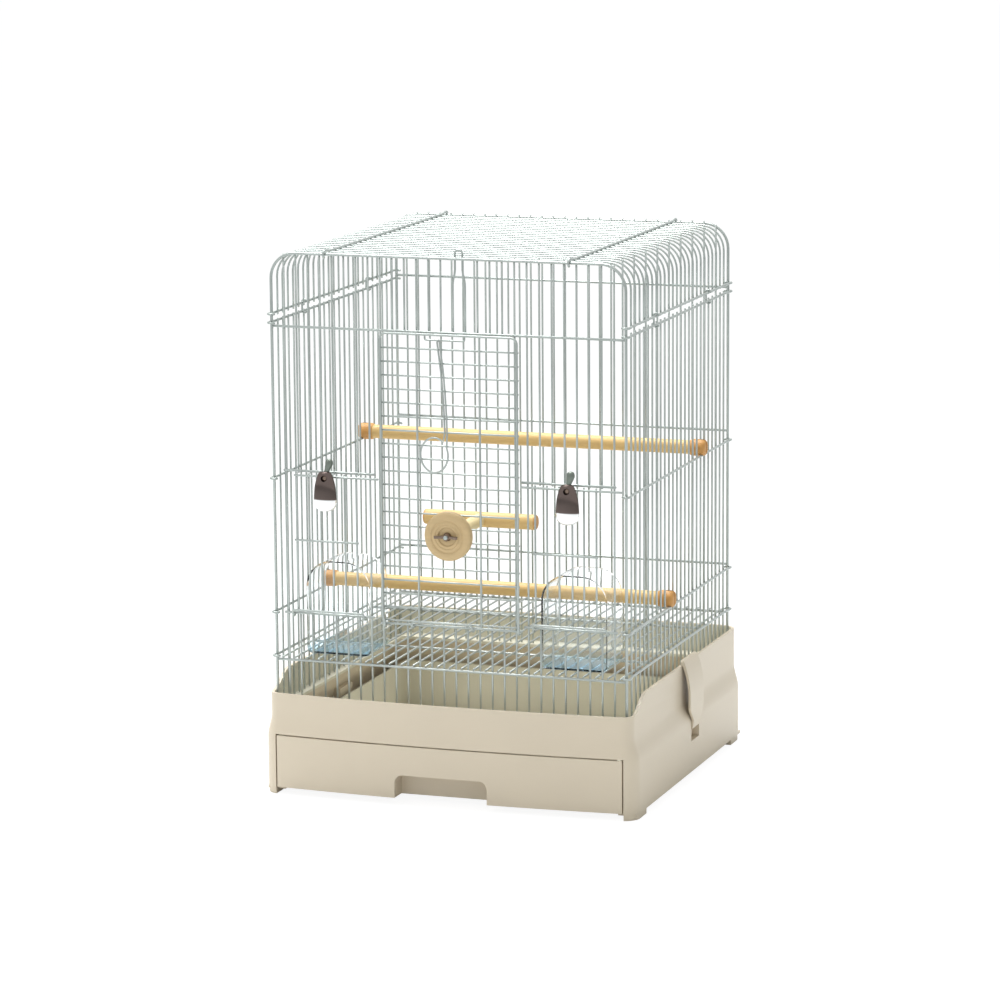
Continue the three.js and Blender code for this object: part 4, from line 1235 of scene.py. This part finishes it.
def rivet(word, x):
    y = LATCH_Y
    profile = [(y, 0), (y, RIVET_R), (y - 6.3, RIVET_R), (y - 6.3, RIVET_HEAD_R),
               (y - 7.0, RIVET_HEAD_R), (y - 7.7, 2.3), (y - 8, 1.3), (y - 8, 0)]
    obj = turned(f"rivet_{word}", profile, "Y", (x, 0, FEEDER_TOP_Z), 28, 40)
    settle(obj, f"feeder_door_{word}", f"latch_pin_{word}", "steel_wire", CAST_METAL)


def drop_body(name, x):
    low, top, at_rivet = DROP_LOW_Z, DROP_TOP_Z, (x, DROP_Y, FEEDER_TOP_Z)
    outline = flowing([(low, 0), (low + 0.8, 5.6), (low + 3, 9), (low + 6.4, 11.2),
                       (low + 10.4, 11.75), (low + 15.4, 11.6), (low + 24, 10.8), (low + 32, 9),
                       (low + 37, 7), (top - 0.8, 5.6), (top, 3.6), (top, 0)], 4)
    bm = bmesh.new()
    add_turned(bm, [(max(low, min(top, z)), max(0, r)) for z, r in outline], "Z", (0, 0, 0))
    bmesh.ops.scale(bm, vec=(1, DROP_FLATNESS, 1), verts=bm.verts)
    bmesh.ops.translate(bm, vec=Vector((x, DROP_Y - 5.4, 0)) * MM, verts=bm.verts)
    obj = mesh_object(name, bm)
    boss = [(-BOSS_DEPTH, 0), (-BOSS_DEPTH, BOSS_R - 0.4), (-BOSS_DEPTH + 0.4, BOSS_R),
            (-0.4, BOSS_R), (0, BOSS_R - 0.4), (0, 0)]
    cut_with(obj, turned("boss", boss, "Y", at_rivet), "UNION")
    cut_with(obj, rod("rivet_seat", -30, -BOSS_DEPTH, RIVET_SEAT_R, "Y", at_rivet, 32))
    cut_with(obj, rod("bore", -30, 6, RIVET_BORE_R, "Y", at_rivet, 28))
    sharpen(obj, 45)
    return obj


def drop_finger(name, x, lean):
    """A turned finger whose upper part leans by `lean`."""
    low, top = DROP_TOP_Z - 4, DROP_TOP_Z
    outline = flowing([(low, 2.2), (top - 1, 2.5), (top + 2, 2.9), (top + 5, 3.6),
                       (top + 8.4, 3.9), (top + 11.4, 3.1), (top + 12.7, 0)], 5)
    bm = bmesh.new()
    add_turned(bm, [(low, 0), *[(z, max(0, r)) for z, r in outline]], "Z", (0, 0, 0), 28)
    for v in bm.verts:
        across = x + lean * min(1, max(0, (v.co.z / MM - low) / 11))
        v.co = Vector((v.co.x + across * MM, v.co.y * FINGER_FLATNESS + (DROP_Y - 4) * MM, v.co.z))
    return mesh_object(name, bm)


for word, x, lean in DROPS:
    rivet(word, x)
    latch = f"feeder_latch_{word}"
    body, finger = drop_body(f"drop_{word}", x), drop_finger(f"drop_{word}_finger", x, lean)
    settle(body, latch, latch, "chrome_drop", DROP_CHROME)
    settle(finger, latch, None, "chrome_drop", FINGER_GREY)
    print(body.name, len(body.data.polygons), "faces")

# %% [markdown]
# The seed cups are thin clear mouldings with a domed hood, open towards the birds. An outline is
# made twice, once inset by the wall, and the inner solid is cut from the outer one. The mouth is a
# second cut through the back wall, above a lip that keeps the seed in.

# %% Cups
CUP_X, CUP_Y, CUP_Z, CUP_LIP_Z, CUP_WALL = (88, 155), (-155, -106), (138, 231), 180, 1.6
HOOD_R, CUP_CORNER_R = 26, 6


def cup_outline(s, d):
    """The cup from the front, inset by d: small corners below and a domed hood above."""
    (x0, x1), (z0, z1) = CUP_X, CUP_Z
    hood, corner = HOOD_R - d, CUP_CORNER_R - min(d, 5)
    points = [*arc(x1 - d - corner, z0 + d + corner, corner, -90, 0, 8),
              *arc(x1 - d - hood, z1 - d - hood, hood, 0, 90, 18),
              *arc(x0 + d + hood, z1 - d - hood, hood, 90, 180, 18),
              *arc(x0 + d + corner, z0 + d + corner, corner, 180, 270, 8)]
    return [(s * x, z) for x, z in points]


def cup(word, s):
    (x0, x1), (y0, y1), top = on_side(s, CUP_X[0] - 1, CUP_X[1] + 1), CUP_Y, CUP_Z[1] + 1
    inner = cup_outline(s, CUP_WALL)
    obj = prism_y(f"seed_cup_{word}", cup_outline(s, 0), y0, y1)
    cut_with(obj, prism_y("hollow", inner, y0 + CUP_WALL, y1 - CUP_WALL))
    mouth = prism_y("mouth", inner, y1 - CUP_WALL - 1, y1 + 1)
    cut_with(mouth, block("above_lip", (x0, y0, CUP_LIP_Z), (x1, y1 + 4, top)), "INTERSECT")
    cut_with(obj, mouth)
    soften(obj, 0.45)
    settle(obj, f"cup_{word}", f"cup_{word}", "clear_plastic", CUP_CLEAR)
    print(obj.name, len(obj.data.polygons), "faces")


cup("left", -1)
cup("right", 1)

# %% [markdown]
# The base and the drawer share their plan: bowed in front, straight at the sides, and round at the
# corners. An outline is a row of six sizes (half width, front, bow, back, front corner, back
# corner), so that a wall is only the same row inset by its thickness.

# %% Plan outlines
SKIRT = (192, -182.5, 7.5, 190, 16, 22)
COLLAR = (187, -180, 8, 187, 11, 17)
THROAT = (174, -164, 0, 164, 6, 6)
BASE_WALL = 3
SKIRT_Z, FLARE_Z, LEDGE_Z = 6, (56, 80), (85, 88)
RIM_FRONT_Z, RIM_Z = 101, 117
DRAWER_HALF, DRAWER_Z, DRAWER_WALL, DRAWER_GAP, DRAWER_BACK = 178, (7, 59), 2.4, 1.3, 181
PAST = 210  # a cutting tool that reaches this far is past every side of the base


def smooth(t):
    return t * t * (3 - 2 * t)


def plan(half_w, front, bow, back, rf, rb):
    """Points of the outline: bowed front, then corners, anticlockwise."""
    xf = half_w - rf
    steps = [k / 32 for k in range(1, 32)]
    edge = [(mix(-xf, xf, t), front - bow * (1 - mix(-1, 1, t) ** 2)) for t in steps]
    return [*edge, *arc(xf, front + rf, rf, -90, 0, 9), *arc(half_w - rb, back - rb, rb, 0, 90, 10),
            *arc(-half_w + rb, back - rb, rb, 90, 180, 10), *arc(-xf, front + rf, rf, 180, 270, 9)]


def inset(outline, d):
    w, front, bow, back, rf, rb = outline
    return (w - d, front + d, bow, back - d, rf - d, rb - d)


def plan_solid(name, outline, low, high):
    """A straight solid over a plan outline, between two heights."""
    return stack(name, [(z, plan(*outline)) for z in (low, high)])


def bowl(name, d, low, high):
    """The whole moulding inset by d: straight skirt, flare and straight collar."""
    skirt, collar = plan(*inset(SKIRT, d)), plan(*inset(COLLAR, d))
    levels = [(low, skirt)]
    for k in range(13):
        t = smooth(k / 12)
        between = [(mix(a[0], b[0], t), mix(a[1], b[1], t)) for a, b in zip(skirt, collar)]
        levels.append((mix(*FLARE_Z, k / 12), between))
    return stack(name, [*levels, (high, collar)])


print("plan outline of", len(plan(*SKIRT)), "points")

# %% [markdown]
# The base is one moulding: a skirt, a flare to a narrower collar, a ledge inside for the wires, and
# a rim that dips at the front. It is made as it would be machined: a stack of plan outlines gives
# the outer solid, and inner solids are cut from it.

# %% Hollows of the base


def hollow_out(obj):
    """The space under the ledge, the collar's inside, the throat, and the rim that dips."""
    cut_with(obj, bowl("underside", BASE_WALL, SKIRT_Z - 4, LEDGE_Z[0]))
    cut_with(obj, plan_solid("inside", inset(COLLAR, BASE_WALL), LEDGE_Z[1], RIM_Z + 10))
    cut_with(obj, plan_solid("throat", THROAT, LEDGE_Z[0] - 5, RIM_Z + 10))
    steps = [k / 20 for k in range(21)]
    rise = [(mix(-171, -130, t), mix(RIM_FRONT_Z, RIM_Z, smooth(t))) for t in steps]
    above = [(-PAST, RIM_FRONT_Z), *rise, (PAST, RIM_Z), (PAST, 140), (-PAST, 140)]
    cut_with(obj, prism_x("above_rim", above, -PAST, PAST))


def cut_mouth(obj):
    """The opening for the drawer, and the skirt's lower edge in front of it."""
    half, low, high = DRAWER_HALF + DRAWER_GAP, DRAWER_Z[0] - 0.3, DRAWER_Z[1] + DRAWER_GAP
    cut_with(obj, block("drawer_mouth", (-half, -PAST, low), (half, -150, high)))
    cut_with(obj, block("front_edge", (-half, -PAST, -5), (half, -176.5, high)))


# %% [markdown]
# Four feet stand under the corners, and a runner along each side carries the drawer. The side
# clips need a recess to swing in, so the wall is made thicker there first and then cut into.

# %% Feet, runners and clip recesses
CLIP_Y, CLIP_FOOT_Y, PIN_X, PIN_Z, PIN_R = (-14, 32), (3, 29), 189.5, 52, 1.5
CLIP_RECESS_Z, PIN_FIT = 37, 0.1
FOOT_INSET, FOOT_Y, RUNNER_X, RUNNER_Y = 0.6, 146, (172, 190), (-176, 186)


def add_feet_and_runner(obj, s):
    x0, x1 = on_side(s, DRAWER_HALF + DRAWER_GAP, PAST)
    for y0, y1 in ((-PAST, -FOOT_Y), (FOOT_Y, PAST)):
        foot = plan_solid("foot", inset(SKIRT, FOOT_INSET), 0, SKIRT_Z + 3)
        cut_with(foot, block("corner", (x0, y0, -1), (x1, y1, SKIRT_Z + 4)), "INTERSECT")
        cut_with(obj, foot, "UNION")
    x0, x1 = on_side(s, *RUNNER_X)
    (y0, y1), z = RUNNER_Y, DRAWER_Z[0]
    cut_with(obj, block("runner", (x0, y0, z - 3.1), (x1, y1, z - 0.3)), "UNION")


def add_pocket(obj, s):
    """A thicker wall behind each side clip, for its recess to be cut into."""
    (x0, x1), (y0, y1) = on_side(s, 181.5, 191), CLIP_FOOT_Y
    low, high = (x0, y0 - 5, CLIP_RECESS_Z - 4), (x1, y1 + 5, FLARE_Z[0] + 10)
    pocket = block("pocket", low, high)
    cut_with(pocket, bowl("pocket_limit", 0.5, 0, RIM_Z), "INTERSECT")
    cut_with(obj, pocket, "UNION")


def cut_recess(obj, s):
    """The recess for a side clip's foot, and the hole for its pin."""
    (x0, x1), (y0, y1) = on_side(s, PIN_X - 4.6, PAST), CLIP_FOOT_Y
    low, high = (x0, y0 - 0.6, CLIP_RECESS_Z), (x1, y1 + 0.6, FLARE_Z[0] + 5)
    cut_with(obj, block("clip_recess", low, high))
    pin = (s * PIN_X, 0, PIN_Z)
    cut_with(obj, rod("pin_hole", y0 - 3, y1 + 3, PIN_R + PIN_FIT, "Y", pin, 24))


# %% [markdown]
# Now the base is put together. Its edges are rounded last, when every cut has been made. The faces
# inside the collar get the second, paler cream: painted light on the shade that the cage casts
# there.

# %% Base moulding
PAINTED_LIGHT_FRONT_Y = -165


def paint_light_inside(obj, half_w, back, low):
    """Paint light on the faces inside the tray or the collar, seen from above, with the paler
    second finish.
    """
    for face in obj.data.polygons:
        x, y, z = face.center / MM
        inside = abs(x) < half_w and PAINTED_LIGHT_FRONT_Y < y < back and low < z < RIM_Z - 1
        face.material_index = int(inside)


def base():
    obj = bowl("base_moulding", 0, SKIRT_Z, RIM_Z + 3)
    hollow_out(obj)
    for s in (-1, 1):
        add_feet_and_runner(obj, s)
        add_pocket(obj, s)
    cut_mouth(obj)
    for s in (-1, 1):
        cut_recess(obj, s)
    soften(obj, 0.6, 3)
    settle(obj, "cage", "base", "cream_plastic", CREAM, CREAM_PAINTED_LIGHT)
    # The faces inside the collar get the paler cream: painted light on their shade.
    half, _, _, back, _, _ = inset(COLLAR, BASE_WALL - 0.2)
    paint_light_inside(obj, half, back, LEDGE_Z[0] + 1)
    print("base faces:", len(obj.data.polygons))


base()

# %% [markdown]
# A gap is left over the drawer so that it can slide. A rib behind the drawer's upper edge keeps
# seed in and light out, and makes that gap read as a fine dark line.

# %% Seed lip
LIP_HALF, LIP_DEPTH, LIP_Z = 172, (0.2, 1.9), (-4, 3.5)


def seed_lip():
    """A strip that follows the bow of the skirt, just behind its wall."""
    half_w, front, bow, _, corner, _ = SKIRT
    across = [mix(-LIP_HALF, LIP_HALF, k / 32) for k in range(33)]

    def line(depth):
        y = front + BASE_WALL + depth
        return [(x, y - bow * (1 - (x / (half_w - corner)) ** 2)) for x in across]

    near, far = (line(depth) for depth in LIP_DEPTH)
    obj = stack("seed_lip", [(DRAWER_Z[1] + z, [*near, *far[::-1]]) for z in LIP_Z])
    sharpen(obj)
    settle(obj, "cage", None, "cream_plastic", CREAM)
    print("seed lip", 2 * LIP_HALF, "mm long")


seed_lip()

# %% [markdown]
# The drawer is a tray whose front follows the bow of the skirt. Its finger notch is a pocket in
# the lower edge with its own walls, so that seed can't fall out through it.

# %% Drawer
NOTCH_X, NOTCH_TOP, NOTCH_R = (-52, 43), 30, 8


def drawer_slab(name, d, low, high):
    """The drawer's outline inset by d: the skirt's bowed front, and straight sides and back."""
    obj = plan_solid(name, inset(SKIRT, d), low, high)
    half, back = DRAWER_HALF - d, DRAWER_BACK - d
    cut_with(obj, block("limit", (-half, -PAST, low - 1), (half, back, high + 1)), "INTERSECT")
    return obj


def notch(name, grow, y0, y1):
    """The finger notch, or with `grow` the walls round it."""
    x0, x1, r, top = NOTCH_X[0] - grow, NOTCH_X[1] + grow, NOTCH_R + grow, NOTCH_TOP + grow
    low = DRAWER_Z[0] if grow else DRAWER_Z[0] - 5
    outline = [(x0, low), (x1, low), *arc(x1 - r, top - r, r, 0, 90, 10),
               *arc(x0 + r, top - r, r, 90, 180, 10)]
    return prism_y(name, outline, y0, y1)


def drawer():
    low, high = DRAWER_Z
    wall = DRAWER_WALL
    obj = drawer_slab("drawer_tray", 0, low, high)
    cut_with(obj, drawer_slab("hollow", wall, low + wall, high + 5))
    notch_back = SKIRT[1] - SKIRT[2] + 20
    shell = notch("notch_wall", wall, -186, notch_back + wall)
    cut_with(shell, plan_solid("notch_limit", SKIRT, low, high), "INTERSECT")
    cut_with(obj, shell, "UNION")
    cut_with(obj, notch("notch", 0, -PAST, notch_back))
    soften(obj, 0.6, 3)
    settle(obj, "drawer", "drawer", "cream_plastic", CREAM, CREAM_PAINTED_LIGHT)
    # The faces inside the tray get the paler cream: painted light on the shade there.
    paint_light_inside(obj, DRAWER_HALF - wall + 0.2, DRAWER_BACK - wall + 0.2, low + wall - 0.2)
    print("drawer faces:", len(obj.data.polygons))


drawer()

# %% [markdown]
# Each side clip is a springy leaf that stands off the collar, hooks over the rim with a lip and
# turns on a steel pin in the skirt. The leaf is drawn once as a bent strip in profile, and a
# second outline, seen from the side, trims it to a narrow foot.

# %% Side clips
CLIP_T, BARREL_R = 2.3, 3.9
CLIP_OUT = COLLAR[0] + 6.9


def clip_strip(s):
    """The leaf in profile, as (x, z): up the inner line, over the lip and down the outer one."""
    wall, out, far = COLLAR[0], CLIP_OUT, CLIP_OUT + CLIP_T
    inner = flowing([(PIN_X + 1.6, PIN_Z), (PIN_X + 2.9, PIN_Z + 6), (out - 0.7, 66), (out, 76),
                     (out, 88), (out - 0.9, 98), (out - 2.7, 107), (wall + 2, 114),
                     (wall + 0.5, RIM_Z + 0.4)])
    outer = flowing([(PIN_X + 3.9, PIN_Z), (PIN_X + 5.2, PIN_Z + 6), (far - 0.7, 66), (far, 76),
                     (far, 88), (far - 0.9, 98.6), (far - 2.7, 108), (wall + 4.4, 115.4),
                     (wall + 2.8, RIM_Z + 3.4), (wall + 1, RIM_Z + 5.4), (wall - 1.4, RIM_Z + 5.4)])
    strip = [*inner, (wall - 1.4, RIM_Z + 0.4), *outer[::-1]]
    return [(s * min(x, far), z) for x, z in strip]


def clip_face():
    """The leaf from the side, as (y, z): a wide head that narrows to the foot."""
    (y0, y1), (f0, f1) = CLIP_Y, CLIP_FOOT_Y
    front = flowing([(y0, 74), (y0 + 4, 69.5), (f0 - 2.5, 60), (f0, 54)], 4)
    return [*front, (f0, 40), (f1, 40), (f1, 57), (y1, 64),
            *arc(y1 - 3, RIM_Z + 2.6, 3, 0, 90, 5), *arc(y0 + 3, RIM_Z + 2.6, 3, 90, 180, 5)]


def side_clip(word, s):
    (f0, f1), pin = CLIP_FOOT_Y, (s * PIN_X, 0, PIN_Z)
    obj = prism_y(f"clip_leaf_{word}", clip_strip(s), *CLIP_Y)
    cut_with(obj, prism_x("leaf_outline", clip_face(), *on_side(s, 170, PAST)), "INTERSECT")
    cut_with(obj, rod("barrel", f0, f1, BARREL_R, "Y", pin, 32), "UNION")
    cut_with(obj, rod("bore", f0 - 5, f1 + 5, PIN_R + PIN_FIT, "Y", pin, 24))
    soften(obj, 0.5, 3)
    settle(obj, f"side_clip_{word}", f"side_clip_{word}", "cream_plastic", CREAM)
    steel = [(f0 - 2.6, 0), (f0 - 2.6, PIN_R - 0.3), (f0 - 2.3, PIN_R), (f1 + 2.3, PIN_R),
             (f1 + 2.6, PIN_R - 0.3), (f1 + 2.6, 0)]
    pin_obj = turned(f"clip_pin_steel_{word}", steel, "Y", pin, 24, 40)
    settle(pin_obj, "cage", f"clip_pin_{word}", "steel_wire", PLATED)
    print(obj.name, len(obj.data.polygons), "faces")


side_clip("left", -1)
side_clip("right", 1)

# %% [markdown]
# Last, the view layer is updated.

# %% Update
bpy.context.view_layer.update()
